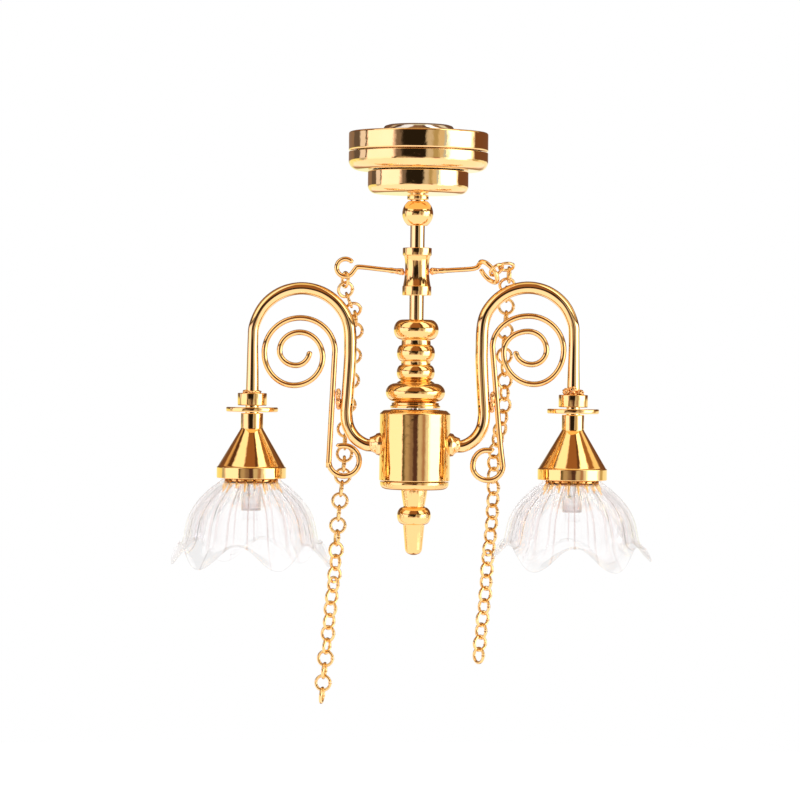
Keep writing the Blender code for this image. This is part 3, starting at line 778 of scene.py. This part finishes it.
# %% [markdown]
# ## Baluster, drum and finial
# The baluster is four beads of different widths with tight coves between them, the sort of turning that
# furniture legs have. Beads are half ellipses, so each is given by its neck, its belly and its two ends.
# The drum below is a short can that the arms are brazed into, closed by a base with a rolled edge, and the
# finial is one more bead with a long tapered drop. A tie rod through the middle holds them together.

# %% Baluster
shaft = span("baluster")
ROD_HOLE = 0.9
BEADS = (  # radius of neck and belly, start and end down from the top
    (2.3, 3.6, 0.0, 3.25),
    (2.35, 3.04, 4.05, 6.65),
    (2.35, 3.04, 7.25, 9.65),
    (3.2, 4.75, 10.15, 13.15),
)
baluster_outline = [(STEM_HOLE, shaft.top)]
for neck, belly, start, end in BEADS:
    baluster_outline += bead(neck, belly, shaft.top - start, shaft.top - end)
baluster_outline += [(3.8, shaft.bottom + 0.85), (3.8, shaft.bottom + 0.5), (4.0, shaft.bottom + 0.4),
                     (4.0, shaft.bottom), (ROD_HOLE, shaft.bottom), (ROD_HOLE, shaft.top - 1.25),
                     (STEM_HOLE, shaft.top - 1.25)]
lathe("baluster_turning", baluster_outline, "baluster", closed=True)
print("baluster of %d beads, %.1f mm long" % (len(BEADS), shaft.top - shaft.bottom))

# %% Drum, base, rod and finial
drum, base, rod, drop = span("drum"), span("drum_base"), span("tie_rod"), span("finial")
inner = drum.r - 0.7
drum_outline = [(ROD_HOLE, drum.top), (drum.r - 1.5, drum.top), (drum.r - 0.55, drum.top - 0.2),
                (drum.r, drum.top - 0.7), (drum.r, drum.bottom), (inner, drum.bottom),
                (inner, drum.top - 0.9), (ROD_HOLE, drum.top - 0.9)]
lathe("drum_shell", drum_outline, "drum", closed=True, corner=0.14)
rim = drum.bottom - 0.12
base_outline = [(ROD_HOLE, base.top), (inner - 0.2, base.top), (inner - 0.2, rim), (base.r, rim)]
base_outline += arc(base.r - 1.1, rim - 0.38, 1.1, rim - 0.38 - base.bottom, 0, -90)
base_outline += [(ROD_HOLE, base.bottom)]
lathe("drum_cover", base_outline, "drum_base", closed=True, corner=0.1)
lathe("centre_rod", straight(rod), "tie_rod", corner=0.15, steps=32, **NICKEL)
finial_outline = [(ROD_HOLE, drop.top), (2.1, drop.top), (1.95, drop.top - 1.05), (1.68, drop.top - 2.55)]
finial_outline += bead(1.75, drop.r, drop.top - 2.65, drop.top - 5.45)
finial_outline += [(1.7, drop.top - 5.65), (1.36, drop.top - 9.45)]
finial_outline += arc(0.0, drop.bottom + 0.85, 1.33, 0.85, 0, -90)
finial_outline += [(0.0, drop.top - 2.15), (ROD_HOLE, drop.top - 2.15)]
lathe("finial_drop", finial_outline, "finial", closed=True)
print("drum %.1f mm across, finial tip at %.1f mm" % (2 * drum.r, drop.bottom))

# %% [markdown]
# ## Arms, scrolls and hooks
# Bent wire and tube are sweeps: a circle carried along a route. A curve object with a bevel could do that,
# but it can't swell at a joint or end in a filed tip, so the sweep is made in code. The frame is carried
# from point to point without twist, and the radius is a function of how far along the wire it is.

# %% Sweep a round section along a route
def sweep(bm, points, radius, sides=24):
    """Skin a tube over points in millimetres. Radius is a number or a function of the distance along."""
    points = [Vector(p) for p in points]
    last = len(points) - 1
    distances = [0.0]
    for a, b in zip(points, points[1:]):
        distances.append(distances[-1] + (b - a).length)
    size = radius if callable(radius) else (lambda distance: radius)
    tangents = [(points[min(i + 1, last)] - points[max(i - 1, 0)]).normalized() for i in range(last + 1)]
    side = tangents[0].orthogonal().normalized()
    rings = []
    for point, tangent, distance in zip(points, tangents, distances):
        side = (side - tangent * side.dot(tangent)).normalized()
        other = tangent.cross(side)
        ring = []
        for k in range(sides):
            angle = 2 * math.pi * k / sides
            offset = (side * math.cos(angle) + other * math.sin(angle)) * size(distance)
            ring.append(bm.verts.new((point + offset) * MM))
        rings.append(ring)
    for low, high in zip(rings, rings[1:]):
        for k in range(sides):
            bm.faces.new((low[k], low[(k + 1) % sides], high[(k + 1) % sides], high[k]))
    bm.faces.new(list(reversed(rings[0])))
    bm.faces.new(rings[-1])


def length_of(points):
    return sum((Vector(b) - Vector(a)).length for a, b in zip(points, points[1:]))


def wire(name, points, radius, sides=20, tip=0.0, swells=()):
    """A wire with tips rounded off over a length. Swells are (distance, half width, extra radius)."""
    length = length_of(points)

    def size(distance):
        end = min(distance, length - distance)
        value = radius
        if end < tip:
            value = radius * math.sqrt(max(0.06, 1.0 - (1.0 - end / tip) ** 2))
        for place, half, extra in swells:
            value += extra * math.exp(-((distance - place) / half) ** 2)
        return value

    bm = bmesh.new()
    sweep(bm, points, size, sides)
    return finish_mesh(name, bm, modifiers=False)


def with_fine_ends(points, tip, count=5):
    """Extra points close to both ends, so that a rounded tip has rings to be round with."""
    start, end = ([here + (after - here).normalized() * tip * (k / count) ** 2 for k in range(count)]
                  for here, after in ((points[0], points[1]), (points[-1], points[-2])))
    middle = [p for p in points if (p - points[0]).length > tip and (p - points[-1]).length > tip]
    return start + middle + end[::-1]


# %% Arms
ARM_ROOT = ((5.95, -51.0), (7.6, -51.2), (9.4, -50.2), (10.6, -48.5), (11.0, -46.4), (10.85, -43.5),
            (10.6, -39.5), (10.5, -36.2))
ARM_R = 1.0


def arm_route(name, side):
    """Out of the drum, up, over in a half circle and straight down into the socket cup."""
    holder, arm = span("shade_holder_" + name), span("arm_" + name)
    reach = abs(holder.x)
    arch_r = (reach - ARM_ROOT[-1][0]) / 2.0
    centre_x, centre_z = reach - arch_r, arm.top - ARM_R - arch_r
    route = list(ARM_ROOT) + arc(centre_x, centre_z, arch_r, arch_r, 165, 15, 6)
    start = centre_z - 0.6
    route += [(reach, start + (arm.bottom - start) * step / 3) for step in range(4)]
    return [Vector((p[0] * side, 0.0, p[1])) for p in smooth_path(route, 0.4)]


for name, side in SIDES.items():
    route = arm_route(name, side)
    end = length_of(route)
    pipe = wire(name + "_arm_pipe", route, ARM_R, sides=32,
                swells=((0.0, 0.7, 0.12), (end - 18.0, 5.5, -0.14), (end, 8.5, 0.17)))
    fit_out(pipe, pipe_gold, "gold_plate", "lamp", "arm_" + name)
    print(name, "arm, %.1f mm of tube" % end)


# %% Scrolls
def quarter_arcs(extremes, upright, count):
    """A smooth flat curve through the extreme points of a scroll, as quarter ellipses."""
    points = [Vector(extremes[0])]
    for (x0, z0), (x1, z1) in zip(extremes, extremes[1:]):
        for i in range(1, count + 1):
            angle = math.pi / 2 * i / count
            if upright:
                points.append(Vector((x1 + (x0 - x1) * math.cos(angle), z0 + (z1 - z0) * math.sin(angle))))
            else:
                points.append(Vector((x0 + (x1 - x0) * math.sin(angle), z1 + (z0 - z1) * math.cos(angle))))
        upright = not upright
    return points


SCROLL_R = 0.45
SCROLLS = {
    "left": (((-17.0, -36.3), (-19.2, -38.6), (-21.8, -36.3), (-18.6, -33.3), (-14.9, -37.3), (-19.5, -41.8),
              (-24.25, -36.6), (-18.5, -31.0), (-12.96, -36.3)),
             ((-13.7, -53.6),),
             ((-13.7, -53.9), (-11.3, -56.2), (-8.85, -53.8), (-11.3, -51.35), (-12.4, -51.6))),
    "right": (((15.95, -35.85), (18.5, -38.0), (20.85, -35.7), (17.9, -32.7), (14.0, -36.1), (18.9, -41.15),
               (23.6, -35.7), (18.0, -30.25), (12.2, -35.3)),
              ((12.85, -42.2), (13.62, -50.5)),
              ((14.12, -54.3), (11.8, -56.6), (9.3, -54.4), (11.4, -51.8), (12.6, -51.95))),
}
for name, (coil, stem, eye) in SCROLLS.items():
    flat = quarter_arcs(coil, True, 18)
    flat += smooth_path([flat[-1], *stem, eye[0]], 0.5)[1:]
    flat += quarter_arcs(eye[:4], True, 14)[1:]
    flat += quarter_arcs(eye[3:], False, 6)[1:]
    route = with_fine_ends([Vector((p.x, 0.0, p.y)) for p in flat], 0.35)
    scroll = wire(name + "_scroll_wire", route, SCROLL_R, tip=0.35)
    fit_out(scroll, wire_gold, "gold_plate", "lamp", "scroll_" + name)
    print(name, "scroll, %.1f mm of wire" % length_of(route))

# %% [markdown]
# ## Solder
# The scrolls are soldered to the arms, the arms to the drum and to the socket cups. Hand soldering leaves
# lumps: a rounded blob, pulled out of shape, with a rougher skin than the plating around it. A fine sphere
# is stretched to size and pushed in and out by noise. The noise is the same each run.

# %% Solder lumps
def lump(bm, centre, radii, roughness, seed):
    """One blob: a subdivided ball, stretched and roughened. Sizes in millimetres."""
    made = bmesh.ops.create_icosphere(bm, subdivisions=4, radius=1.0)["verts"]
    for vert in made:
        direction = vert.co.normalized()
        wobble = noise.noise(direction * 2.2 + Vector((seed, 0.0, 0.0))) * roughness
        wobble += noise.noise(direction * 5.5 + Vector((0.0, seed, 0.0))) * roughness * 0.4
        vert.co = (Vector([d * r for d, r in zip(direction, radii)]) * (1.0 + wobble) + Vector(centre)) * MM


def lumps(name, blobs):
    bm = bmesh.new()
    for number, (centre, radii, roughness) in enumerate(blobs):
        lump(bm, centre, radii, roughness, 3.7 + 2.9 * number + len(name))
    return finish_mesh(name, bm, modifiers=False)


for name, side in SIDES.items():
    bond = span("solder_" + name)
    middle = (bond.top + bond.bottom) / 2
    blobs = [((bond.x + side * 0.05, -0.25, middle + 0.9), (0.42, 0.5, 0.9), 0.25),
             ((bond.x + side * 0.02, -0.15, middle - 0.3), (0.40, 0.5, 0.8), 0.3),
             ((bond.x - side * 0.02, 0.1, middle - 1.1), (0.36, 0.4, 0.5), 0.3)]
    fit_out(lumps(name + "_scroll_solder", blobs), solder_gold, "gold_plate", "lamp", "solder_" + name)

SUNK = 0.35
for name, side in SIDES.items():
    boss = span("arm_boss_" + name)
    root = Vector((boss.x, 0.0, (boss.top + boss.bottom) / 2))
    inset = drum.r - SUNK - abs(boss.x)
    bm = bmesh.new()
    reaches = (inset, inset + 0.3, -0.3, -0.1, 0.15, 0.4, 0.6, 0.8)
    flare = [root + Vector((side * reach, 0.0, 0.0)) for reach in reaches]
    sizes = (1.78, 1.86, 1.74, 1.5, 1.34, 1.24, 1.16, 1.08)
    sweep(bm, flare, lambda d: sizes[min(range(8), key=lambda k: abs(length_of(flare[:k + 1]) - d))], 40)
    for vert in bm.verts:
        wobble = noise.noise(vert.co / MM * 1.1 + Vector((side * 5.0, 0.0, 0.0)))
        centre = Vector((vert.co.x, 0.0, root.z * MM))
        vert.co = centre + (vert.co - centre) * (1.0 + 0.07 * wobble)
    fit_out(finish_mesh(name + "_arm_root_fillet", bm, modifiers=False), pipe_gold, "gold_plate", "lamp",
            "arm_boss_" + name)
print("solder placed")

# %% [markdown]
# ## Lamp holders
# At the end of each arm a small cup takes the tube, a loose-looking disc hangs under it, and a cone widens
# into the band that grips the glass. All are turned. The cone is the piece with the strongest stripes,
# because its flank looks up into the room, so its outline is kept dead straight. A thin ring crimped
# inside the glass neck ends in soft teeth, which show through the flutes as a row of gold flecks.

# %% Cup, disc and cone
for name, side in SIDES.items():
    cup_part, plate = span("socket_collar_" + name), span("socket_flange_" + name)
    cone = span("shade_holder_" + name)
    outline = [(1.2, cup_part.top), (cup_part.r, cup_part.top), (cup_part.r, cup_part.bottom),
               (0.0, cup_part.bottom), (0.0, cup_part.top - 1.1), (1.2, cup_part.top - 1.1)]
    lathe(name + "_socket_cup", outline, "socket_collar_" + name, x=cup_part.x, closed=True, corner=0.16)
    lathe(name + "_socket_disc", straight(plate, 0.9), "socket_flange_" + name, x=plate.x, closed=True,
          corner=0.2)
    neck, neck_end, shoulder = 1.78, cone.top - 2.5, cone.top - 8.5
    outline = [(1.25, cone.top), (neck, cone.top), (neck, neck_end), (cone.r - 0.2, shoulder),
               (cone.r, shoulder - 0.15), (cone.r, cone.bottom), (cone.r - 0.45, cone.bottom),
               (cone.r - 0.45, shoulder - 0.1), (1.25, neck_end - 0.8)]
    lathe(name + "_shade_cone", outline, "shade_holder_" + name, x=cone.x, closed=True, corner=0.12)
    blobs = [((cup_part.x, 0.0, cup_part.top + 0.1), (1.42, 1.42, 0.42), 0.22)]
    if side > 0:
        blobs += [((cup_part.x - 1.15, -0.7, cup_part.top + 0.45), (0.6, 0.6, 0.6), 0.35),
                  ((cup_part.x + 1.05, -0.8, cup_part.top + 0.3), (0.65, 0.6, 0.5), 0.35),
                  ((cup_part.x - 0.1, -1.15, cup_part.top + 0.75), (0.55, 0.4, 0.6), 0.35)]
    else:
        blobs += [((cup_part.x - 1.1, -0.5, cup_part.top + 0.15), (0.4, 0.5, 0.35), 0.3)]
    fit_out(lumps(name + "_socket_solder", blobs), solder_gold, "gold_plate", "lamp")
    print(name, "cone %.1f mm wide" % (2 * cone.r))


# %% Crimp rings with their teeth
CRIMP_TEETH = 18

for name, side in SIDES.items():
    cone = span("shade_holder_" + name)
    crimp_top, crimp_end = cone.bottom + 0.2, cone.bottom - 0.75
    outline = [(3.85, crimp_top), (4.05, crimp_top), (4.1, crimp_end + 0.3), (4.35, crimp_end),
               (4.1, crimp_end - 0.15), (3.85, crimp_end + 0.2)]
    lathe(name + "_crimp_ring", outline, x=cone.x, closed=True, corner=0.05)
    bm = bmesh.new()
    for tooth in range(CRIMP_TEETH):
        around = 2 * math.pi * (tooth + 0.5) / CRIMP_TEETH
        out = Vector((math.sin(around), -math.cos(around), 0.0))
        length = 1.15 + 0.45 * math.sin(2.3 * tooth + side)
        start = Vector((cone.x, 0.0, crimp_top)) + out * 3.95
        bend = Vector((cone.x, 0.0, crimp_end)) + out * 4.1
        end = Vector((cone.x, 0.0, crimp_end - length)) + out * (4.1 + 0.55 * length)
        sweep(bm, [start, bend, end], lambda d: 0.26 - 0.05 * d, 10)
    fit_out(finish_mesh(name + "_crimp_teeth", bm), turned_gold, "gold_plate", "lamp")
    print(name, "crimp ring, with", CRIMP_TEETH, "teeth")

# %% [markdown]
# ## Lights
# Each light is a stock 3 mm clear lamp. Inside its resin two steel legs reach down, one to a cup with a
# speck of phosphor, with a hair of wire across to the other leg. Below the cone only the lens shows, and its
# roundness bends the view of the legs, so the legs have to be real pieces inside it. A frame of tinted, half
# clear bars near the flat tip and a tinted line round the tip's edge are painted shade that outlines the
# bright window one looks through.

# %% Lens, legs, chip, sleeve and painted shade frame
def mark_painted_lines(piece, amount):
    """Store how much painted shade line there is at each point of a clear piece."""
    line_shares = piece.data.attributes.new("painted_line", "FLOAT", "POINT")
    for value, vert in zip(line_shares.data, piece.data.vertices):
        value.value = amount(vert.co)


for name in SIDES:
    lens, sleeve = span("led_" + name), span("led_sleeve_" + name)
    body_r, tip = 1.6, lens.bottom + 0.4
    outline = [(0.0, lens.top), (lens.r, lens.top), (lens.r, lens.top - 0.8), (body_r, lens.top - 0.8),
               (body_r, tip), (0.0, tip)]
    bulb = turned(name + "_led_lens", outline, lens.x, corner=0.14, steps=64)
    # The outer edge of the flat tip is a painted shade line.
    mark_painted_lines(bulb, lambda point: 1.0 if point.z / MM < tip + 0.16 and
                 math.hypot(point.x / MM - lens.x, point.y / MM) > body_r - 0.2 else 0.0)
    fit_out(bulb, lens_resin, "led_lens", "lamp", "led_" + name)
    bm = bmesh.new()
    # Two posts and a bar of tinted resin: a painted shade frame round the bright window.
    for centre, size in (((-1.0, 0.95), (0.12, 1.5)), ((1.0, 0.95), (0.12, 1.5)), ((0.0, 0.2), (2.1, 0.12))):
        block(bm, (lens.x + centre[0], 0.0, tip + centre[1]), (size[0], 0.2, size[1]), 0.03)
    window = finish_mesh(name + "_led_shade_frame", bm)
    mark_painted_lines(window, lambda point: 1.0)
    fit_out(window, lens_resin, "led_lens", "lamp")
    bm = bmesh.new()
    block(bm, (lens.x - 0.45, 0.0, lens.top - 1.25), (0.24, 0.3, 1.9), 0.06)
    block(bm, (lens.x + 0.5, 0.0, lens.top - 1.1), (0.2, 0.3, 1.6), 0.06)
    block(bm, (lens.x - 0.35, 0.0, lens.top - 2.3), (0.55, 0.5, 0.3), 0.08)
    bond_wire = [(lens.x - 0.3, 0.0, lens.top - 2.5), (lens.x + 0.1, 0.0, lens.top - 2.75),
                 (lens.x + 0.5, 0.0, lens.top - 1.9)]
    sweep(bm, smooth_path(bond_wire, 0.1), 0.03, 8)
    fit_out(finish_mesh(name + "_led_legs", bm), bright_nickel, "nickel_plate", "lamp")
    bm = bmesh.new()
    lump(bm, (lens.x - 0.35, 0.0, lens.top - 2.52), (0.24, 0.22, 0.09), 0.08, 1.0)
    fit_out(finish_mesh(name + "_led_chip", bm, modifiers=False), phosphor, "led_lens", "lamp")
    lathe(name + "_lead_sleeve", straight(sleeve), "led_sleeve_" + name, x=sleeve.x, corner=0.1, steps=48,
          material=white_sleeve, slot="white_sleeve")
print("lights in place")

# %% [markdown]
# ## Glass shades
# A shade is a bell of pressed glass: about twenty flutes run down it, and the rim is pushed into six
# waves while the glass is soft. It is drawn as a sheet of points round and down the bell, and the sheet is
# closed into a wall by a second, inner sheet. The flutes are a row of shallow scallops on the outside, cut
# sharp where two meet, because those lines are what one sees of clear glass. Solidify would give an even
# wall, but a real wall thins out towards the rim, so both faces come from one function.

# %% Shade surface
PROFILE = ((4.6, -55.4), (4.74, -56.9), (6.4, -58.2), (8.6, -60.4), (10.0, -62.7), (10.6, -64.9),
           (10.9, -66.5), (11.4, -67.7), (12.3, -68.65))
LOBES, LOBE_DROP, LOBE_FLARE = 6, 1.9, 0.45
FLUTES, FLUTE_DEPTH = 20, 0.24
SIDE_LIFT = {"left": 0.1, "right": 1.2}
WALL = 0.55


def profile_at(v):
    """Radius and height of the bell's outline, with v from 0 at the neck to 1 at the rim."""
    count = len(PROFILE) - 1
    at = min(max(v, 0.0) * count, count - 1e-6)
    i, t = int(at), at - int(at)
    around = [PROFILE[min(max(k, 0), count)] for k in (i - 1, i, i + 1, i + 2)]
    return [0.5 * (2 * b + (c - a) * t + (2 * a - 5 * b + 4 * c - d) * t ** 2
                   + (3 * b - a - 3 * c + d) * t ** 3) for a, b, c, d in zip(*around)]


def ease(low, high, value):
    t = min(1.0, max(0.0, (value - low) / (high - low)))
    return t * t * (3 - 2 * t)


def shade_point(angle, v, lean, side_lift, depth):
    """A point of the glass, at a depth in from its outer face."""
    r, z = profile_at(v)
    r2, z2 = profile_at(min(v + 0.01, 1.0))
    r1, z1 = profile_at(min(v, 0.99) - 0.01)
    slope = Vector((r2 - r1, z2 - z1)).normalized()
    inward = Vector((slope.y, -slope.x))
    wave = math.cos(LOBES * (angle - lean))
    edge = max(0.0, (v - 0.55) / 0.45) ** 2
    flute = math.sqrt(math.sin(FLUTES / 2 * angle) ** 2 + 0.004)
    shaped = ease(0.08, 0.2, v) * (1.0 - 0.65 * ease(0.7, 1.0, v))
    thick = depth * (1.0 - 0.35 * ease(0.75, 1.0, v))
    out = FLUTE_DEPTH * (flute - 1.0) * shaped * (1.0 - 0.6 * min(1.0, depth / WALL))
    r += inward.x * thick - inward.x * out
    z += inward.y * thick - inward.y * out
    beside = max(0.0, (abs(math.sin(angle)) - 0.87) / 0.13)
    z += (LOBE_DROP * wave + side_lift * beside) * edge
    r += (0.1 - LOBE_FLARE * wave) * edge
    return Vector((r * math.sin(angle), -r * math.cos(angle), z))


# %% Build the shades
def glass_shade(name, x, lift, lean, side_lift, around=320, rows=64, rim_rows=6):
    """Outer face down, round the rim and back up inside, as one closed skin."""
    bm = bmesh.new()
    tracks = [(k / rows, 0.0) for k in range(rows + 1)]
    for k in range(1, rim_rows):
        turn = math.pi * k / rim_rows
        tracks.append((1.0 + 0.018 * math.sin(turn), WALL * (1.0 - math.cos(turn)) / 2))
    tracks += [(k / rows, WALL) for k in range(rows, -1, -1)]
    rings = []
    for v, depth in tracks:
        ring = []
        for k in range(around):
            angle = 2 * math.pi * k / around
            point = shade_point(angle, min(v, 1.0), lean, side_lift, depth)
            if v > 1.0:
                ahead = point - shade_point(angle, 0.985, lean, side_lift, depth)
                point = point + ahead.normalized() * (v - 1.0) * 10.0
            ring.append(bm.verts.new((point + Vector((x, 0.0, lift))) * MM))
        rings.append(ring)
    for a, b in zip(rings, rings[1:] + rings[:1]):
        for k in range(around):
            bm.faces.new((a[k], a[(k + 1) % around], b[(k + 1) % around], b[k]))
    glass = finish_mesh(name, bm, modifiers=False)
    lowest = [min(shade_point(2 * math.pi * k / around, 1.0, lean, side_lift, 0.0).z for k in range(around))]

    def lines(place):
        """Painted shade along the grooves between the flutes, strongest on the shoulder and fading towards
        the rim.
        """
        angle = math.atan2(place.x / MM - x, -place.y / MM)
        down = (PROFILE[1][1] + lift - place.z / MM) / (PROFILE[1][1] - lowest[0])
        groove = math.exp(-(math.sin(FLUTES / 2 * angle) / 0.12) ** 2)
        return groove * ease(0.0, 0.10, down) * (1.0 - 0.7 * ease(0.55, 0.95, down))

    # The grooves between the flutes carry painted shade lines.
    mark_painted_lines(glass, lines)
    return glass


LEANS = {"left": math.radians(-7.0), "right": 0.0}
for name in SIDES:
    shade = span("shade_" + name)
    lift = shade.top - PROFILE[0][1]
    glass = glass_shade(name + "_glass_shade", span("shade_holder_" + name).x, lift, LEANS[name],
                        SIDE_LIFT[name])
    fit_out(glass, shade_glass, "clear_glass", "lamp", "shade_" + name)
    print(name, "shade", len(glass.data.vertices), "points, lifted %.2f mm" % lift)

# %% [markdown]
# ## Hooks
# One cross wire is soldered to the spool in two halves. The left half ends in a round eye that is left
# open a little, and the right half in a longer eye that has been twisted out of flat.

# %% Hook wires
HOOK_R = 0.38


def left_hook_route():
    points = [Vector((-2.2, 0.0, -23.45)), Vector((-6.0, 0.0, -23.05)), Vector((-9.3, 0.0, -22.75)),
              Vector((-9.85, 0.0, -23.1))]
    for i in range(17):
        angle = math.radians(-40 - 285 * i / 16)
        points.append(Vector((-11.45 + 1.4 * math.cos(angle), 0.0, -22.9 + 1.4 * math.sin(angle))))
    return points


def right_hook_route():
    points = [Vector((2.2, 0.0, -23.3)), Vector((6.0, 0.0, -23.05)), Vector((9.2, 0.0, -22.75))]
    along, across = Vector((0.64, 0.0, -0.77)), Vector((0.46, -0.8, 0.38))
    for i in range(17):
        angle = math.radians(200 - 325 * i / 16)
        bend = along * 2.0 * math.cos(angle) + across * 1.3 * math.sin(angle)
        points.append(Vector((11.4, 0.0, -23.3)) + bend)
    return points


for name, route in (("left", left_hook_route()), ("right", right_hook_route())):
    path = with_fine_ends(smooth_path(route, 0.2), 0.3)
    hook = wire(name + "_chain_hook", path, HOOK_R, tip=0.3, swells=((0.3, 0.8, 0.16), (1.9, 0.35, 0.08)))
    fit_out(hook, wire_gold, "gold_plate", "lamp", "hook_" + name)
    side = SIDES[name]
    start = route[0]
    blobs = [((start.x + side * 0.2, -0.1, start.z), (0.42, 0.55, 0.55), 0.25),
             ((start.x + side * 0.95, -0.1, start.z + 0.06), (0.5, 0.42, 0.42), 0.25)]
    fit_out(lumps(name + "_hook_solder", blobs), solder_gold, "gold_plate", "lamp")
    print(name, "hook, %.1f mm of wire" % length_of(path))

# %% [markdown]
# ## Chains
# The chains are plain jump rings closed one through the next. Each ring is a short piece of wire bent
# round, so it has a seam with a tiny burr where its ends meet. The rings follow a given route: from the
# hook, over the shoulder of the arm, and straight down behind the scroll. Ring after ring turns by a right
# angle, and the whole chain also twists slowly, which is why some rings show their faces and others their
# edges.

# %% Ring and chain helpers
LINK_R, LINK_WIRE = 1.17, 0.245
LINK_PITCH, JOINT_PITCH = 1.99, 1.6


def jump_ring(bm, centre, along, normal, number):
    """One ring of wire in its plane, with its seam to one side."""
    across = normal.cross(along)
    seam = math.radians(8.0 if number % 2 else 187.0)
    count = 30
    points = []
    for i in range(count + 1):
        angle = seam + math.radians(1.2) + (2 * math.pi - math.radians(2.4)) * i / count
        points.append(centre + (along * math.sin(angle) + across * math.cos(angle)) * LINK_R)
    length = length_of(points)

    def size(distance):
        end = min(distance, length - distance)
        return LINK_WIRE * (1.0 + 0.25 * math.exp(-(end / 0.18) ** 2))

    sweep(bm, points, size, 10)


def link_places(route, runs, twist):
    """Centre, direction and facing of each ring, run by run. Twist is the roll in degrees at a depth."""
    path = smooth_path(route, 0.25)
    distance = 0.0
    places = []
    for run in runs:
        for i in range(run):
            centre = walk_along(path, distance)
            ahead = walk_along(path, distance + 0.6)
            behind = walk_along(path, max(0.0, distance - 0.6))
            along = (ahead - behind).normalized()
            face = along.cross(Vector((1.0, 0.0, 0.0))).normalized()
            edge = face.cross(along).normalized()
            roll = math.radians(twist(-centre.z)) + (0.0 if len(places) % 2 else math.pi / 2)
            places.append((centre, along, face * math.cos(roll) + edge * math.sin(roll)))
            distance += LINK_PITCH if i < run - 1 else JOINT_PITCH
    return places


def between(stops):
    """A function that runs smoothly through (depth, degrees) stops."""
    def value(depth):
        if depth <= stops[0][0]:
            return stops[0][1]
        for (d0, a0), (d1, a1) in zip(stops, stops[1:]):
            if depth <= d1:
                return a0 + (a1 - a0) * ease(d0, d1, depth)
        return stops[-1][1]
    return value


# %% Lay the chains
CHAINS = {
    "left": (((-11.45, 0.0, -24.82), (-11.4, 0.1, -26.4), (-10.7, 1.3, -28.4), (-9.9, 2.6, -30.3),
              (-9.85, 3.0, -33.0), (-10.05, 3.0, -36.5), (-10.3, 3.0, -40.5), (-10.8, 3.0, -44.4),
              (-11.2, 3.0, -48.5), (-11.3, 3.0, -52.8), (-11.5, 3.0, -56.0), (-12.0, 3.0, -61.0),
              (-12.4, 3.0, -67.0), (-12.65, 3.0, -72.0), (-13.2, 3.0, -77.0), (-13.7, 3.0, -83.0),
              (-14.2, 3.0, -88.5), (-14.7, 3.0, -95.0)),
             (1, 3, 12, 10, 10), between(((24, 25), (30, 8), (64, 5), (70, 38), (80, 50), (87, 80)))),
    "right": (((12.65, -0.96, -22.98), (14.05, -0.4, -22.35), (14.75, 0.95, -23.35), (14.5, 2.2, -25.0),
               (14.4, 3.1, -27.0), (14.4, 3.1, -30.3), (14.2, 3.0, -35.0), (14.3, 3.1, -40.0),
               (14.25, 3.4, -44.7), (13.65, 3.9, -48.7), (12.8, 4.5, -53.0), (12.75, 5.2, -59.1),
               (12.5, 5.9, -64.7), (12.0, 6.3, -70.0), (11.7, 6.4, -75.5), (11.2, 6.4, -80.5),
               (10.8, 6.4, -85.0), (10.4, 6.4, -91.0)),
              (4, 12, 10, 9), between(((30, 5), (48, 35), (56, 45), (90, 38)))),
}
for name, (route, runs, twist) in CHAINS.items():
    places = link_places(route, runs, twist)
    first = 0
    for number, run in enumerate(runs, start=1):
        bm = bmesh.new()
        for index in range(first, first + run):
            jump_ring(bm, *places[index], index)
        node = "chain_%s_%d" % (name, number)
        links = finish_mesh("%s_chain_links_%d" % (name, number), bm, modifiers=False)
        fit_out(links, chain_gold, "gold_plate", node, node)
        first += run
    print(name, "chain of", first, "rings")

# %% [markdown]
# ## Floor
# A plain pale floor well below the lamp closes the set. It is one sided: a ray that meets it from below
# goes through, so a low camera still sees the lamp. It is lit from within, like a light table, and is left
# out of reflections, so that the stem and the drum mirror the room in front of them and not the floor.

# %% Floor
def make_floor():
    bm = bmesh.new()
    bmesh.ops.create_circle(bm, cap_ends=True, segments=96, radius=0.45)
    bmesh.ops.translate(bm, verts=bm.verts, vec=(0.0, 0.0, cad_box[0].z - 0.06))
    floor = finish_mesh("studio_floor", bm, modifiers=False)
    if floor.data.polygons[0].normal.z < 0:
        floor.data.flip_normals()
    material, tree, shader = new_material("floor_white")
    drift = two_tones(tree, (0.24, 0.24, 0.24), (0.21, 0.21, 0.21), 6.0, 1.0)
    fill(tree, shader, {"Base Color": drift["Colour"], "Roughness": 0.8,
                        "Emission Color": (1.0, 1.0, 1.0, 1.0), "Emission Strength": 0.95})
    below = add_node(tree, "ShaderNodeNewGeometry", "which side").outputs["Backfacing"]
    reflected = add_node(tree, "ShaderNodeLightPath", "kind of ray").outputs["Is Glossy Ray"]
    unseen = add_node(tree, "ShaderNodeBsdfTransparent", "from below and in reflections")
    choose = add_node(tree, "ShaderNodeMixShader", "one sided",
                      {0: math_node(tree, "MAXIMUM", below, reflected), 1: shader.outputs[0],
                       2: unseen.outputs[0]})
    fill(tree, tree.nodes["Material Output"], {"Surface": choose.outputs[0]})
    floor.data.materials.append(material)
    return floor


floor = make_floor()
print("floor at %.1f mm" % (floor.data.vertices[0].co.z / MM))
